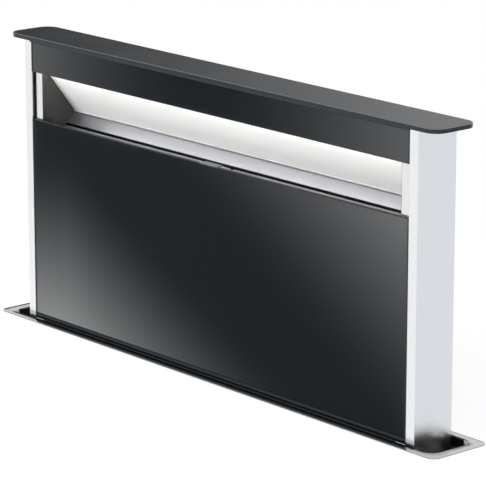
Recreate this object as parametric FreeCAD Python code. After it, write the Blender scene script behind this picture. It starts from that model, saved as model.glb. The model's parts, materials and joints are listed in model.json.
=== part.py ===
"""Retractable downdraft vent: a glass-fronted tower that rises out of a worktop on toothed belts.

Millimetres. +X is the vent's right, -Y its front and +Z up. The origin is the centre of the worktop
opening, on the underside of the worktop flange. The tower is modelled raised.
"""
import FreeCAD
import Part

import math
import os

from FreeCAD import Placement, Rotation, Vector

# ---- tower, as it stands raised -------------------------------------------------------------------
TOWER_WIDTH = 812.0
TOWER_DEPTH = 67.0
TOWER_RISE = 412.0
TOWER_ENGAGEMENT = 110.0
COLUMN_FACE = 15.0
COLUMN_WALL = 2.0
SCREW_PORT_R = 3.4
SCREW_PORT_BORE_R = 1.6
CAP_THICK = 6.0
CAP_GAP = 1.5
CAP_EDGE_R = 1.2
TRAY_THICK = 1.5
TRAY_EDGE = 10.0

# ---- worktop flange: its opening leaves a deep well at each end of the tower, for the lift -----------
END_WELL = 36.5
SIDE_WELL = 6.0
OPENING_WIDTH = TOWER_WIDTH + 2 * END_WELL
OPENING_DEPTH = TOWER_DEPTH + 2 * SIDE_WELL
OPENING_CORNER_R = 21.0
FLANGE_END_BORDER = 15.5
FLANGE_SIDE_BORDER = 10.5
FLANGE_WIDTH = OPENING_WIDTH + 2 * FLANGE_END_BORDER
FLANGE_DEPTH = OPENING_DEPTH + 2 * FLANGE_SIDE_BORDER
FLANGE_THICK = 1.5
FLANGE_CORNER_R = 24.0
LIP_DROP = 7.0
LIP_THICK = 1.2
EDGE_EASE = 0.5

# ---- glass, slot and what lines them --------------------------------------------------------------
GLASS_THICK = 4.0
GLASS_SIDE_GAP = 0.8
GLASS_SETBACK = 0.5
GLASS_TOP_ABOVE_FLANGE = 296.0
GLASS_BELOW_WORKTOP = 3.0
HEADER_HEIGHT = 46.0
CAP_JOINT_GAP = 0.3
PROFILE_WIDTH = 18.9
PROFILE_RETURN = 17.0
PROFILE_WALL = 2.0
PROFILE_GAP = 0.3
GROOVE_COUNT = 2
GROOVE_WIDTH = 1.6
GROOVE_DEPTH = 1.0
GROOVE_PITCH = 3.4
LINING_THICK = 1.2
LINING_JOINT = 0.3
REFLECTOR_THICK = 1.0
REFLECTOR_TOP_INSET = 14.5
REFLECTOR_SLOPE_DROP = 62.0
REFLECTOR_BACK_GAP = 3.0
REFLECTOR_FLANGE = 13.0
DEFLECTOR_RUN = 18.0
DEFLECTOR_DROP = 16.5
DEFLECTOR_HEM = 8.0
DEFLECTOR_FLANGE = 11.0
BEND_R = 1.0
LIGHT_DEPTH = 7.5
LIGHT_HEIGHT = 12.0
LIGHT_WALL = 1.6
DIFFUSER_THICK = 1.2
DIFFUSER_MARGIN = 12.0

# ---- tilting glass panel --------------------------------------------------------------------------
FRAME_DEPTH = 5.0
FRAME_BORDER = 20.0
FRAME_TOP_GAP = 2.5
HINGE_DROP = 1.5
HINGE_PIN_R = 2.5
HINGE_PIN_GAP = 0.5
HINGE_LUG_R = 4.0
RUNNING_CLEARANCE = 0.06
TAB_WIDTH = 36.0
TAB_DEPTH = 12.5
TAB_THICK = 1.2

# ---- grease filters -------------------------------------------------------------------------------
FILTER_THICK = 9.0
FILTER_BORDER = 12.0
FILTER_GAP = 2.0
FILTER_BARS = 13
FILTER_BAR_WIDTH = 8.0
FILTER_WEB = 1.5
FILTER_SEAT_GAP = 0.3
FILTER_FOOT_GAP = 1.2
FILTER_HEM_LAP = 5.0
FILTER_HANDLE = 60.0
FILTER_HANDLE_R = 1.5
TROUGH_FRONT_Y = -23.0
TROUGH_DEPTH = 20.0
TROUGH_FLOOR_Z = 2.0
TROUGH_WALL = 1.2
TROUGH_HEIGHT = 12.0

# ---- tower foot and lift --------------------------------------------------------------------------
SKIRT_THICK = 1.2
SKIRT_TOP_GAP = 6.0
FOOT_HEIGHT = 12.0
FOOT_WALL = 3.0
FOOT_WINDOWS = 4
SHOE_LENGTH = 30.0
SHOE_PLATE = 3.0
SHOE_HEAD = 16.0
SHOE_NECK = 8.0
SHOE_CLEARANCE = 0.3
UPPER_SHOE_DROP = 20.0
RAIL_DEPTH = 26.0
RAIL_WIDTH = 22.0
RAIL_LIP = 4.0
RAIL_Y = -7.5
RAIL_TOP_DROP = 14.0
RAIL_FOOT_GAP = 20.0
BELT_Y = 20.5
BELT_WIDTH = 9.0
BELT_THICK = 1.6
BELT_GAP = 0.3
PULLEY_R = 10.6
PULLEY_TEETH = 14
PULLEY_TOOTH_DEPTH = 1.2
PULLEY_FLANGE_R = 13.5
PULLEY_FLANGE_THICK = 0.8
PULLEY_WALL_GAP = 10.2
IDLER_PIN_R = 3.0
IDLER_DROP = 70.0
SHAFT_R = 5.0
SHAFT_BELOW_FOOT = 32.0
SHAFT_ABOVE_FLOOR = 60.0
SHAFT_END_GAP = 2.0
BEARING_THICK = 8.0
BEARING_SIZE = 20.0
CLAMP_GRIP = 4.5
CLAMP_HEIGHT = 20.0
CLAMP_DROP = 88.0
GEARBOX_X = -300.0
GEARBOX_WIDTH = 40.0
GEARBOX_DEPTH = 66.0
GEARBOX_HEIGHT = 44.0
MOTOR_R = 19.0
MOTOR_LENGTH = 120.0
MOTOR_OFFSET = 36.0

# ---- housing below the worktop --------------------------------------------------------------------
SHEET = 1.2
HOUSING_TOP_DROP = 3.0
HOUSING_RETURN = 60.0
PANEL_LAP = 30.0
FLOOR_RIM = 12.0
SCREW_TOP_DROP = 60.0
SCREW_FLOOR_GAP = 40.0
SCREW_ROW_COUNT = 3
SCREW_HEAD_R = 4.0
SCREW_HEAD_HEIGHT = 2.6
SCREW_SHANK_R = 1.9
SCREW_SHANK = 2.4
CLAMP_BRACKET_WIDTH = 34.0
CLAMP_SHELF_DROP = 80.0
CLAMP_SHELF_REACH = 34.0
CLAMP_BRACKET_THICK = 3.0
CLAMP_BRACKET_TALL = 46.0
WORKTOP_THICK = 40.0
CLAMP_BOLT_R = 3.0
CLAMP_PAD_R = 9.0
CLAMP_PAD_THICK = 4.0
CLAMP_BOLT_LENGTH = 62.0
CLAMP_HEAD_R = 7.0
CLAMP_HEAD_HEIGHT = 6.0
LEG_INSET = 56.0
LEG_WIDTH = 40.0
LEG_HEIGHT = 52.0
LEG_CROWN = 60.0
LEG_FLANGE = 34.0
LEG_THICK = 2.0
LEG_HOLE_R = 3.5
LEG_HOLE_Y = 50.0
LEG_BUSH_R = 9.0
LEG_BUSH_LENGTH = 24.0
FOOT_STUD_R = 5.0
FOOT_PAD_R = 16.0
FOOT_PAD_THICK = 8.0
FOOT_TOP_GAP = 6.0

# ---- fan ------------------------------------------------------------------------------------------
FAN_X = 130.0
FAN_ABOVE_FLOOR = 290.0
FAN_WIDTH = 100.0
FAN_WALL = 2.0
SCROLL_START_R = 98.0
SCROLL_END_R = 160.0
SCROLL_TONGUE_DEG = 60.0
SCROLL_OUTLET_DROP = 165.0
SCROLL_BACK_HOLE_R = 100.0
SCROLL_POINTS = 13
INLET_FLANGE_R = 97.0
INLET_MOUTH_R = 80.0
INLET_THROAT_R = 71.0
INLET_LENGTH = 14.0
IMPELLER_R = 88.0
IMPELLER_EYE_R = 74.0
IMPELLER_BLADES = 32
BLADE_THICK = 1.2
BLADE_CURVE_R = 16.0
BLADE_LEAD_DEG = 3.4
IMPELLER_PLATE = 2.0
IMPELLER_FRONT_GAP = 3.0
IMPELLER_REAR_GAP = 8.0
HUB_R = 13.0
HUB_LENGTH = 26.0
FAN_SHAFT_R = 4.0
FAN_SHAFT_IN_MOTOR = 20.0
FAN_MOTOR_R = 42.0
FAN_MOTOR_LENGTH = 56.0
FAN_MOTOR_FLANGE_R = 52.0
FAN_MOTOR_FINS = 10
FIN_DEPTH = 4.0
ADAPTER_LENGTH = 70.0
DUCT_R = 74.5
DUCT_WALL = 2.0
DUCT_LENGTH = 50.0
DUCT_CLEAR_OF_HOUSING = 6.0
FLAP_PIN_R = 1.25
FLAP_KNUCKLE_R = 2.6
FLAP_THICK = 1.2
FLAP_PIN_SPACING = 7.0
FLAP_RIM_GAP = 1.2
FLAP_SEAT_WIDTH = 3.0
FLAP_SEAT_DROP = 8.0
FLAP_SEAT_GAP = 0.3

# ---- control box ----------------------------------------------------------------------------------
CONTROL_INSET = 166.0
CONTROL_Z = -230.0
CONTROL_WIDTH = 180.0
CONTROL_HEIGHT = 140.0
CONTROL_DEPTH = 44.0
CONTROL_WALL = 2.0
CONTROL_CORNER_R = 6.0
INLET_SOCKET_WIDTH = 27.0
INLET_SOCKET_DEPTH = 20.0
INLET_SOCKET_HEIGHT = 16.0
INLET_SOCKET_PROUD = 4.0
INLET_PIN_PITCH = 7.0
INLET_PIN_STAGGER = 2.0

# ---- levels and faces that several pieces share ---------------------------------------------------
FLANGE_TOP = FLANGE_THICK
CAP_BOTTOM = FLANGE_TOP + TOWER_RISE
CAP_TOP = CAP_BOTTOM + CAP_THICK
TOWER_TRAVEL = CAP_TOP - FLANGE_TOP
TOWER_BOTTOM = -TOWER_ENGAGEMENT
FOOT_TOP = TOWER_BOTTOM + FOOT_HEIGHT
HALF_TOWER = TOWER_WIDTH / 2
COLUMN_INNER = HALF_TOWER - COLUMN_FACE
COLUMN_INSIDE = HALF_TOWER - COLUMN_WALL
PROFILE_INNER = COLUMN_INNER - PROFILE_WIDTH
TOWER_FRONT = -TOWER_DEPTH / 2
TOWER_BACK = TOWER_DEPTH / 2
BACK_INNER = TOWER_BACK - COLUMN_WALL
GLASS_FRONT = TOWER_FRONT + GLASS_SETBACK
GLASS_BACK = GLASS_FRONT + GLASS_THICK
GLASS_HALF = COLUMN_INNER - GLASS_SIDE_GAP
GLASS_TOP = FLANGE_TOP + GLASS_TOP_ABOVE_FLANGE
GLASS_BOTTOM = -GLASS_BELOW_WORKTOP
HEADER_TOP = CAP_BOTTOM - CAP_JOINT_GAP
HEADER_BOTTOM = CAP_BOTTOM - HEADER_HEIGHT
PROFILE_FRONT = GLASS_BACK + PROFILE_GAP
HINGE_Y = PROFILE_FRONT + PROFILE_WALL + HINGE_PIN_R + HINGE_PIN_GAP
TRAY_BOTTOM = CAP_BOTTOM - TRAY_THICK
LINING_TOP = TRAY_BOTTOM - TRAY_EDGE
HINGE_Z = GLASS_BOTTOM - HINGE_DROP
HALF_OPENING = OPENING_WIDTH / 2
LIP_OUTER_X = HALF_OPENING + LIP_THICK
LIP_OUTER_Y = OPENING_DEPTH / 2 + LIP_THICK
LIP_OUTER_R = OPENING_CORNER_R + LIP_THICK
LIP_BOTTOM = -LIP_DROP
HOUSING_TOP = -HOUSING_TOP_DROP
SHAFT_Z = TOWER_BOTTOM - TOWER_TRAVEL - SHAFT_BELOW_FOOT
HOUSING_BOTTOM = SHAFT_Z - SHAFT_ABOVE_FLOOR
FAN_Z = HOUSING_BOTTOM + FAN_ABOVE_FLOOR
PANEL_INNER_Y = LIP_OUTER_Y - SHEET
FAN_BACK = -LIP_OUTER_Y
FAN_FRONT = FAN_BACK - FAN_WIDTH
LEG_X = TOWER_WIDTH / 2 - LEG_INSET
CONTROL_X = CONTROL_INSET - TOWER_WIDTH / 2
SCROLL_OUTLET_X = FAN_X + SCROLL_START_R * math.cos(math.radians(SCROLL_TONGUE_DEG))
DUCT_X = (FAN_X + SCROLL_END_R + SCROLL_OUTLET_X) / 2
DUCT_Y = FAN_BACK - DUCT_CLEAR_OF_HOUSING - DUCT_R
ADAPTER_TOP = FAN_Z - SCROLL_OUTLET_DROP
COLLAR_TOP = ADAPTER_TOP - ADAPTER_LENGTH
COLLAR_BOTTOM = COLLAR_TOP - DUCT_LENGTH
FLAP_SEAT_Z = COLLAR_TOP - FLAP_SEAT_DROP
FLAP_PIN_Z = FLAP_SEAT_Z - FLAP_KNUCKLE_R - FLAP_SEAT_GAP
BELT_INNER_R = PULLEY_R + BELT_GAP
BELT_OUTER_R = BELT_INNER_R + BELT_THICK
BELT_OUTER_X = LIP_OUTER_X - PULLEY_WALL_GAP - PULLEY_FLANGE_THICK - BELT_GAP
BELT_INNER_X = BELT_OUTER_X - BELT_WIDTH
PULLEY_INNER_X = BELT_INNER_X - BELT_GAP - PULLEY_FLANGE_THICK
PULLEY_OUTER_X = BELT_OUTER_X + BELT_GAP + PULLEY_FLANGE_THICK
SIDES = (("left", -1), ("right", 1))


# ---- small tools ----------------------------------------------------------------------------------
def box(x0, x1, y0, y1, z0, z1):
    """A block between two opposite corners."""
    low = Vector(min(x0, x1), min(y0, y1), min(z0, z1))
    return Part.makeBox(abs(x1 - x0), abs(y1 - y0), abs(z1 - z0), low)


def cylinder(radius, start, end):
    """A round bar from one point to another."""
    start = Vector(*start)
    along = Vector(*end) - start
    return Part.makeCylinder(radius, along.Length, start, along)


def extrude_polygon(points, along):
    """A closed outline of 3-D points, pushed along a vector."""
    corners = [Vector(*point) for point in points]
    face = Part.Face(Part.makePolygon(corners + corners[:1]))
    return face.extrude(Vector(*along))


def mirrored(shape, side):
    """The shape as made for the right side, or its mirror image for the left."""
    if side > 0:
        return shape
    return shape.mirror(Vector(0, 0, 0), Vector(1, 0, 0))


def upright_edges(shape):
    """The straight edges that run along Z."""
    return [edge for edge in shape.Edges
            if len(edge.Vertexes) == 2
            and math.hypot(edge.Vertexes[0].X - edge.Vertexes[1].X,
                           edge.Vertexes[0].Y - edge.Vertexes[1].Y) < 1e-6]


def rounded_block(half_x, half_y, z0, z1, radius, centre=(0.0, 0.0)):
    """A block about a centre, with its four upright edges rounded."""
    block = box(centre[0] - half_x, centre[0] + half_x, centre[1] - half_y, centre[1] + half_y, z0, z1)
    return block.makeFillet(radius, upright_edges(block))


def edges_at_height(shape, z):
    """The edges that lie wholly at one height."""
    return [edge for edge in shape.Edges
            if abs(edge.BoundBox.ZMin - z) < 1e-6 and abs(edge.BoundBox.ZMax - z) < 1e-6]


def revolve(profile, origin, axis):
    """A closed outline of 3-D points, turned once about an axis."""
    corners = [Vector(*point) for point in profile]
    face = Part.Face(Part.makePolygon(corners + corners[:1]))
    return face.revolve(Vector(*origin), Vector(*axis), 360)


def bent_sheet(points, thick, x0, x1, bend=BEND_R):
    """A folded sheet: a (y, z) path with its thickness on the left, pushed along X, with round bends."""
    count = len(points)
    normals = []
    for first, second in zip(points, points[1:]):
        run = math.hypot(second[0] - first[0], second[1] - first[1])
        normals.append((-(second[1] - first[1]) / run, (second[0] - first[0]) / run))
    offsets = []
    for index, (y, z) in enumerate(points):
        before = normals[max(index - 1, 0)]
        after = normals[min(index, count - 2)]
        mitre = 1 + before[0] * after[0] + before[1] * after[1]
        offsets.append((y + thick * (before[0] + after[0]) / mitre,
                        z + thick * (before[1] + after[1]) / mitre))
    outline = [(x0, y, z) for y, z in points + offsets[::-1]]
    sheet = extrude_polygon(outline, (x1 - x0, 0, 0))
    for index in range(1, count - 1):
        turn = (normals[index - 1][0] * normals[index][1] - normals[index - 1][1] * normals[index][0])
        inside, outside = (offsets, points) if turn > 0 else (points, offsets)
        for spots, radius in ((inside, bend), (outside, bend + thick)):
            y, z = spots[index]
            corner = [edge for edge in sheet.Edges
                      if edge.BoundBox.XLength > abs(x1 - x0) / 2
                      and math.hypot(edge.CenterOfMass.y - y, edge.CenterOfMass.z - z) < 1e-4]
            sheet = sheet.makeFillet(radius, corner)
    return sheet


def save(name, *solids):
    """Write one sub-part's solids to its own STEP file."""
    shape = solids[0] if len(solids) == 1 else Part.makeCompound(list(solids))
    shape.exportStep(os.path.join("parts", name + ".step"))


# ---- worktop flange and tower ---------------------------------------------------------------------
def worktop_flange():
    """The frame that rests on the worktop, with a turned-down lip round its long opening."""
    plate = rounded_block(FLANGE_WIDTH / 2, FLANGE_DEPTH / 2, 0, FLANGE_TOP, FLANGE_CORNER_R)
    plate = plate.makeFillet(EDGE_EASE, edges_at_height(plate, FLANGE_TOP))
    lip = rounded_block(LIP_OUTER_X, LIP_OUTER_Y, LIP_BOTTOM, 0, LIP_OUTER_R)
    opening = rounded_block(HALF_OPENING, OPENING_DEPTH / 2, LIP_BOTTOM, FLANGE_TOP, OPENING_CORNER_R)
    frame = plate.fuse(lip).cut(opening)
    rim = [edge for edge in edges_at_height(frame, FLANGE_TOP)
           if abs(edge.CenterOfMass.x) < HALF_OPENING + EDGE_EASE
           and abs(edge.CenterOfMass.y) < OPENING_DEPTH / 2 + EDGE_EASE]
    return frame.makeChamfer(EDGE_EASE, rim)


def column():
    """An open aluminium extrusion: outer wall, front and back flanges and two screw ports."""
    outer = box(COLUMN_INNER, HALF_TOWER, TOWER_FRONT, TOWER_BACK, TOWER_BOTTOM, CAP_BOTTOM)
    outer = outer.makeFillet(EDGE_EASE, [edge for edge in upright_edges(outer)
                                         if edge.CenterOfMass.x > COLUMN_INSIDE])
    inside = box(COLUMN_INNER, COLUMN_INSIDE, TOWER_FRONT + COLUMN_WALL, BACK_INNER, TOWER_BOTTOM, CAP_BOTTOM)
    extrusion = outer.cut(inside)
    for y in (PROFILE_FRONT + PROFILE_WALL + SCREW_PORT_R, BACK_INNER - SCREW_PORT_R):
        axis_x = COLUMN_INSIDE - SCREW_PORT_R + EDGE_EASE
        port = cylinder(SCREW_PORT_R, (axis_x, y, FOOT_TOP), (axis_x, y, TRAY_BOTTOM))
        bore = cylinder(SCREW_PORT_BORE_R, (axis_x, y, FOOT_TOP), (axis_x, y, TRAY_BOTTOM))
        extrusion = extrusion.fuse(port).cut(bore)
    return extrusion


def top_cap():
    """The slab that closes the worktop opening when the tower is down."""
    cap = rounded_block(HALF_OPENING - CAP_GAP, OPENING_DEPTH / 2 - CAP_GAP, CAP_BOTTOM, CAP_TOP,
                        OPENING_CORNER_R - CAP_GAP)
    cap = cap.makeFillet(CAP_EDGE_R, edges_at_height(cap, CAP_TOP))
    return cap.makeFillet(EDGE_EASE, edges_at_height(cap, CAP_BOTTOM))


def cap_tray():
    """The folded tray that joins the column tops and carries the cap."""
    path = [(GLASS_BACK, LINING_TOP), (GLASS_BACK, CAP_BOTTOM), (BACK_INNER, CAP_BOTTOM),
            (BACK_INNER, LINING_TOP)]
    return bent_sheet(path[::-1], TRAY_THICK, -COLUMN_INNER, COLUMN_INNER)


def glass_sheet(bottom, top):
    """A plain rectangle of glass in the tower's front plane, with eased front edges."""
    sheet = box(-GLASS_HALF, GLASS_HALF, GLASS_FRONT, GLASS_BACK, bottom, top)
    front = [edge for edge in sheet.Edges if edge.BoundBox.YMax < GLASS_FRONT + 1e-6]
    return sheet.makeChamfer(EDGE_EASE, front)


def slot_profile():
    """A grooved aluminium strip inside a column, with a return along the tower's side."""
    front = box(PROFILE_INNER, COLUMN_INSIDE, PROFILE_FRONT, PROFILE_FRONT + PROFILE_WALL,
                FOOT_TOP, LINING_TOP)
    side = box(PROFILE_INNER, PROFILE_INNER + PROFILE_WALL, PROFILE_FRONT, PROFILE_FRONT + PROFILE_RETURN,
               FOOT_TOP, LINING_TOP)
    profile = front.fuse(side).removeSplitter()
    for index in range(GROOVE_COUNT):
        outer_x = COLUMN_INNER - index * GROOVE_PITCH
        groove = box(outer_x - GROOVE_WIDTH, outer_x, PROFILE_FRONT, PROFILE_FRONT + GROOVE_DEPTH,
                     FOOT_TOP, LINING_TOP)
        profile = profile.cut(groove)
    hole_r = HINGE_PIN_R + RUNNING_CLEARANCE
    return profile.cut(cylinder(hole_r, (PROFILE_INNER, HINGE_Y, HINGE_Z),
                                (PROFILE_INNER + PROFILE_WALL, HINGE_Y, HINGE_Z)))


def side_lining():
    """The dark sheet between a slot profile's return and the tower's back."""
    return box(PROFILE_INNER, PROFILE_INNER + LINING_THICK,
               PROFILE_FRONT + PROFILE_RETURN + LINING_JOINT, BACK_INNER, FOOT_TOP, LINING_TOP)


def light_housing():
    """An extruded channel behind the header: a tall web bonded to the glass, and a box for the lamps."""
    bottom = HEADER_BOTTOM + DIFFUSER_THICK
    web = box(-PROFILE_INNER, PROFILE_INNER, GLASS_BACK, GLASS_BACK + LIGHT_WALL, bottom, LINING_TOP)
    channel = box(-PROFILE_INNER, PROFILE_INNER, GLASS_BACK + LIGHT_WALL,
                  GLASS_BACK + LIGHT_WALL + LIGHT_DEPTH, bottom, bottom + LIGHT_HEIGHT)
    hollow = box(-PROFILE_INNER + LIGHT_WALL, PROFILE_INNER - LIGHT_WALL, GLASS_BACK + LIGHT_WALL,
                 GLASS_BACK + LIGHT_DEPTH, bottom, bottom + LIGHT_HEIGHT - LIGHT_WALL)
    return web.fuse(channel).removeSplitter().cut(hollow)


def light_diffuser():
    """The pale strip under the lamps, level with the header's lower edge."""
    strip = box(-PROFILE_INNER + DIFFUSER_MARGIN, PROFILE_INNER - DIFFUSER_MARGIN, GLASS_BACK + LIGHT_WALL,
                GLASS_BACK + LIGHT_WALL + LIGHT_DEPTH, HEADER_BOTTOM, HEADER_BOTTOM + DIFFUSER_THICK)
    return strip


REFLECTOR_TOP_Y = TOWER_FRONT + REFLECTOR_TOP_INSET
CREASE_Y = BACK_INNER - REFLECTOR_BACK_GAP
CREASE_Z = HEADER_BOTTOM - REFLECTOR_SLOPE_DROP
DEFLECTOR_FRONT_Y = CREASE_Y - DEFLECTOR_RUN + REFLECTOR_BACK_GAP
DEFLECTOR_FRONT_Z = CREASE_Z - DEFLECTOR_DROP


def upper_reflector():
    """The bright sheet that slopes from the lamps back and down to the crease."""
    path = [(REFLECTOR_TOP_Y, HEADER_BOTTOM + REFLECTOR_FLANGE), (REFLECTOR_TOP_Y, HEADER_BOTTOM),
            (CREASE_Y, CREASE_Z)]
    return bent_sheet(path, REFLECTOR_THICK, -PROFILE_INNER, PROFILE_INNER)


def lower_deflector():
    """The brushed sheet below the crease: fixed to the back, sloping forward to a hem over the filters."""
    back_y = BACK_INNER - REFLECTOR_THICK
    bend_z = CREASE_Z - REFLECTOR_THICK
    path = [(back_y, bend_z + DEFLECTOR_FLANGE), (back_y, bend_z), (DEFLECTOR_FRONT_Y, DEFLECTOR_FRONT_Z),
            (DEFLECTOR_FRONT_Y, DEFLECTOR_FRONT_Z - DEFLECTOR_HEM)]
    return bent_sheet(path, REFLECTOR_THICK, -PROFILE_INNER, PROFILE_INNER)


def tower_back_panel():
    """The flat sheet between the columns' back flanges."""
    return box(-COLUMN_INNER, COLUMN_INNER, BACK_INNER, TOWER_BACK, FOOT_TOP, CAP_BOTTOM)


def front_skirt():
    """The painted sheet that closes the tower's front below the glass."""
    return box(-GLASS_HALF, GLASS_HALF, PROFILE_FRONT - SKIRT_THICK, PROFILE_FRONT, TOWER_BOTTOM,
               GLASS_BOTTOM - SKIRT_TOP_GAP)


def tower_foot_frame():
    """The open frame that joins the columns at the bottom and lets the air through."""
    inside_front = TOWER_FRONT + COLUMN_WALL
    frame = box(-COLUMN_INSIDE, COLUMN_INSIDE, PROFILE_FRONT, BACK_INNER, TOWER_BOTTOM, FOOT_TOP)
    pitch = (2 * COLUMN_INNER - FOOT_WALL) / FOOT_WINDOWS
    half_x = (pitch - FOOT_WALL) / 2
    half_y = (BACK_INNER - PROFILE_FRONT) / 2 - FOOT_WALL
    for index in range(FOOT_WINDOWS):
        centre = (-COLUMN_INNER + FOOT_WALL + index * pitch + half_x, (BACK_INNER + PROFILE_FRONT) / 2)
        frame = frame.cut(rounded_block(half_x, half_y, TOWER_BOTTOM, FOOT_TOP, FOOT_WALL, centre))
    corner = box(COLUMN_INNER, COLUMN_INSIDE, inside_front, PROFILE_FRONT, TOWER_BOTTOM, FOOT_TOP)
    return frame.fuse([mirrored(corner, -1), corner]).removeSplitter()


# ---- tilting glass, filters -----------------------------------------------------------------------
def glass_frame():
    """The frame bonded to the back of the glass."""
    half = PROFILE_INNER - LINING_JOINT
    top = GLASS_TOP - FRAME_TOP_GAP
    back = GLASS_BACK + FRAME_DEPTH
    frame = box(-half, half, GLASS_BACK, back, GLASS_BOTTOM, top)
    window = box(-half + FRAME_BORDER, half - FRAME_BORDER, GLASS_BACK, back, GLASS_BOTTOM + FRAME_BORDER,
                 top - FRAME_BORDER)
    return frame.cut(window)


def glass_hinge():
    """The hinge lug and pin fixed under a lower corner of that frame."""
    outer = PROFILE_INNER - LINING_JOINT
    inner = outer - FRAME_BORDER
    pin_end = PROFILE_INNER + 2 * PROFILE_WALL
    lug = cylinder(HINGE_LUG_R, (inner, HINGE_Y, HINGE_Z), (outer, HINGE_Y, HINGE_Z))
    web = box(inner, outer, HINGE_Y - HINGE_LUG_R / 2, GLASS_BACK + FRAME_DEPTH, HINGE_Z, GLASS_BOTTOM)
    pin = cylinder(HINGE_PIN_R, (outer, HINGE_Y, HINGE_Z), (pin_end, HINGE_Y, HINGE_Z))
    return lug.fuse([web, pin]).cut(glass_frame()).removeSplitter()


def finger_tab():
    """The small pale tab folded over the middle of the glass's top edge."""
    half = TAB_WIDTH / 2
    tab = box(-half, half, GLASS_FRONT, GLASS_FRONT + TAB_DEPTH, GLASS_TOP, GLASS_TOP + TAB_THICK)
    leg = box(-half, half, GLASS_BACK, GLASS_BACK + TAB_THICK, GLASS_TOP - FRAME_TOP_GAP, GLASS_TOP)
    tab = tab.makeFillet(TAB_THICK, upright_edges(tab))
    return tab.fuse(leg).removeSplitter()


def grease_filter():
    """A cassette filter: a frame, a thin web, upright bars on both faces and a wire handle.

    It leans so that its foot stands in the trough and its upper back edge meets the deflector's hem.
    """
    foot_y = TROUGH_FRONT_Y + TROUGH_WALL + FILTER_SEAT_GAP
    foot_z = TROUGH_FLOOR_Z + TROUGH_WALL + FILTER_FOOT_GAP
    reach = DEFLECTOR_FRONT_Y - FILTER_SEAT_GAP - foot_y
    rise = DEFLECTOR_FRONT_Z - DEFLECTOR_HEM + FILTER_HEM_LAP - foot_z
    height = math.sqrt(reach ** 2 + rise ** 2 - FILTER_THICK ** 2)
    lean = math.atan2(reach, rise) - math.atan2(FILTER_THICK, height)
    inner = FILTER_GAP / 2
    outer = PROFILE_INNER - FILTER_GAP / 2
    body = box(inner, outer, 0, FILTER_THICK, 0, height)
    body = body.cut(box(inner + FILTER_BORDER, outer - FILTER_BORDER, 0, FILTER_THICK, FILTER_BORDER,
                        height - FILTER_BORDER))
    middle = FILTER_THICK / 2
    web = box(inner + FILTER_BORDER, outer - FILTER_BORDER, middle - FILTER_WEB / 2, middle + FILTER_WEB / 2,
              FILTER_BORDER, height - FILTER_BORDER)
    pieces = [web]
    pitch = (outer - inner - 2 * FILTER_BORDER) / FILTER_BARS
    for index in range(FILTER_BARS):
        centre = inner + FILTER_BORDER + pitch * (index + 0.5)
        pieces.append(box(centre - FILTER_BAR_WIDTH / 2, centre + FILTER_BAR_WIDTH / 2, FILTER_WEB,
                          FILTER_THICK - FILTER_WEB, FILTER_BORDER, height - FILTER_BORDER))
    handle_z = height - 2 * FILTER_BORDER
    handle_x = (inner + outer) / 2
    reach = FILTER_HANDLE_R
    pieces.append(cylinder(FILTER_HANDLE_R, (handle_x - FILTER_HANDLE / 2, reach, handle_z),
                           (handle_x + FILTER_HANDLE / 2, reach, handle_z)))
    body = body.fuse(pieces).removeSplitter()
    body.Placement = Placement(Vector(0, foot_y, foot_z), Rotation(Vector(1, 0, 0), -math.degrees(lean)))
    return body


def grease_trough():
    """The folded gutter that the filters stand in and that catches the grease."""
    front = TROUGH_FRONT_Y
    back = TROUGH_FRONT_Y + TROUGH_DEPTH
    path = [(front, TROUGH_FLOOR_Z + TROUGH_HEIGHT), (front, TROUGH_FLOOR_Z), (back, TROUGH_FLOOR_Z),
            (back, TROUGH_FLOOR_Z + TROUGH_HEIGHT)]
    return bent_sheet(path, TROUGH_WALL, -PROFILE_INNER, PROFILE_INNER)


# ---- lift -----------------------------------------------------------------------------------------
def guide_rail():
    """A T-slotted rail on the housing's end wall."""
    mouth = LIP_OUTER_X - RAIL_DEPTH
    half_rail = RAIL_WIDTH / 2
    half_head = SHOE_HEAD / 2 + SHOE_CLEARANCE
    half_neck = SHOE_NECK / 2 + SHOE_CLEARANCE
    head_start = mouth + RAIL_LIP
    head_end = LIP_OUTER_X - RAIL_LIP
    outline = [(LIP_OUTER_X, half_rail), (mouth, half_rail), (mouth, half_neck), (head_start, half_neck),
               (head_start, half_head), (head_end, half_head)]
    outline += [(x, -y) for x, y in outline[::-1]]
    bottom = HOUSING_BOTTOM + RAIL_FOOT_GAP
    points = [(x, y + RAIL_Y, bottom) for x, y in outline]
    return extrude_polygon(points, (0, 0, -RAIL_TOP_DROP - bottom))


def guide_shoe(top):
    """A T-shaped slider on the column's outer face, running in the rail."""
    mouth = LIP_OUTER_X - RAIL_DEPTH
    neck_end = mouth + RAIL_LIP + SHOE_CLEARANCE
    head_end = LIP_OUTER_X - RAIL_LIP - SHOE_CLEARANCE
    base = HALF_TOWER + SHOE_PLATE
    outline = [(HALF_TOWER, RAIL_WIDTH / 2), (base, RAIL_WIDTH / 2), (base, SHOE_NECK / 2),
               (neck_end, SHOE_NECK / 2), (neck_end, SHOE_HEAD / 2), (head_end, SHOE_HEAD / 2)]
    outline += [(x, -y) for x, y in outline[::-1]]
    points = [(x, y + RAIL_Y, top - SHOE_LENGTH) for x, y in outline]
    return extrude_polygon(points, (0, 0, SHOE_LENGTH))


def belt():
    """A closed belt round the idler and the drive pulley."""
    def loop(radius):
        top = -IDLER_DROP
        block = box(BELT_INNER_X, BELT_OUTER_X, BELT_Y - radius, BELT_Y + radius, SHAFT_Z, top)
        ends = [cylinder(radius, (BELT_INNER_X, BELT_Y, z), (BELT_OUTER_X, BELT_Y, z))
                for z in (SHAFT_Z, top)]
        return block.fuse(ends).removeSplitter()
    return loop(BELT_OUTER_R).cut(loop(BELT_INNER_R))


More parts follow.
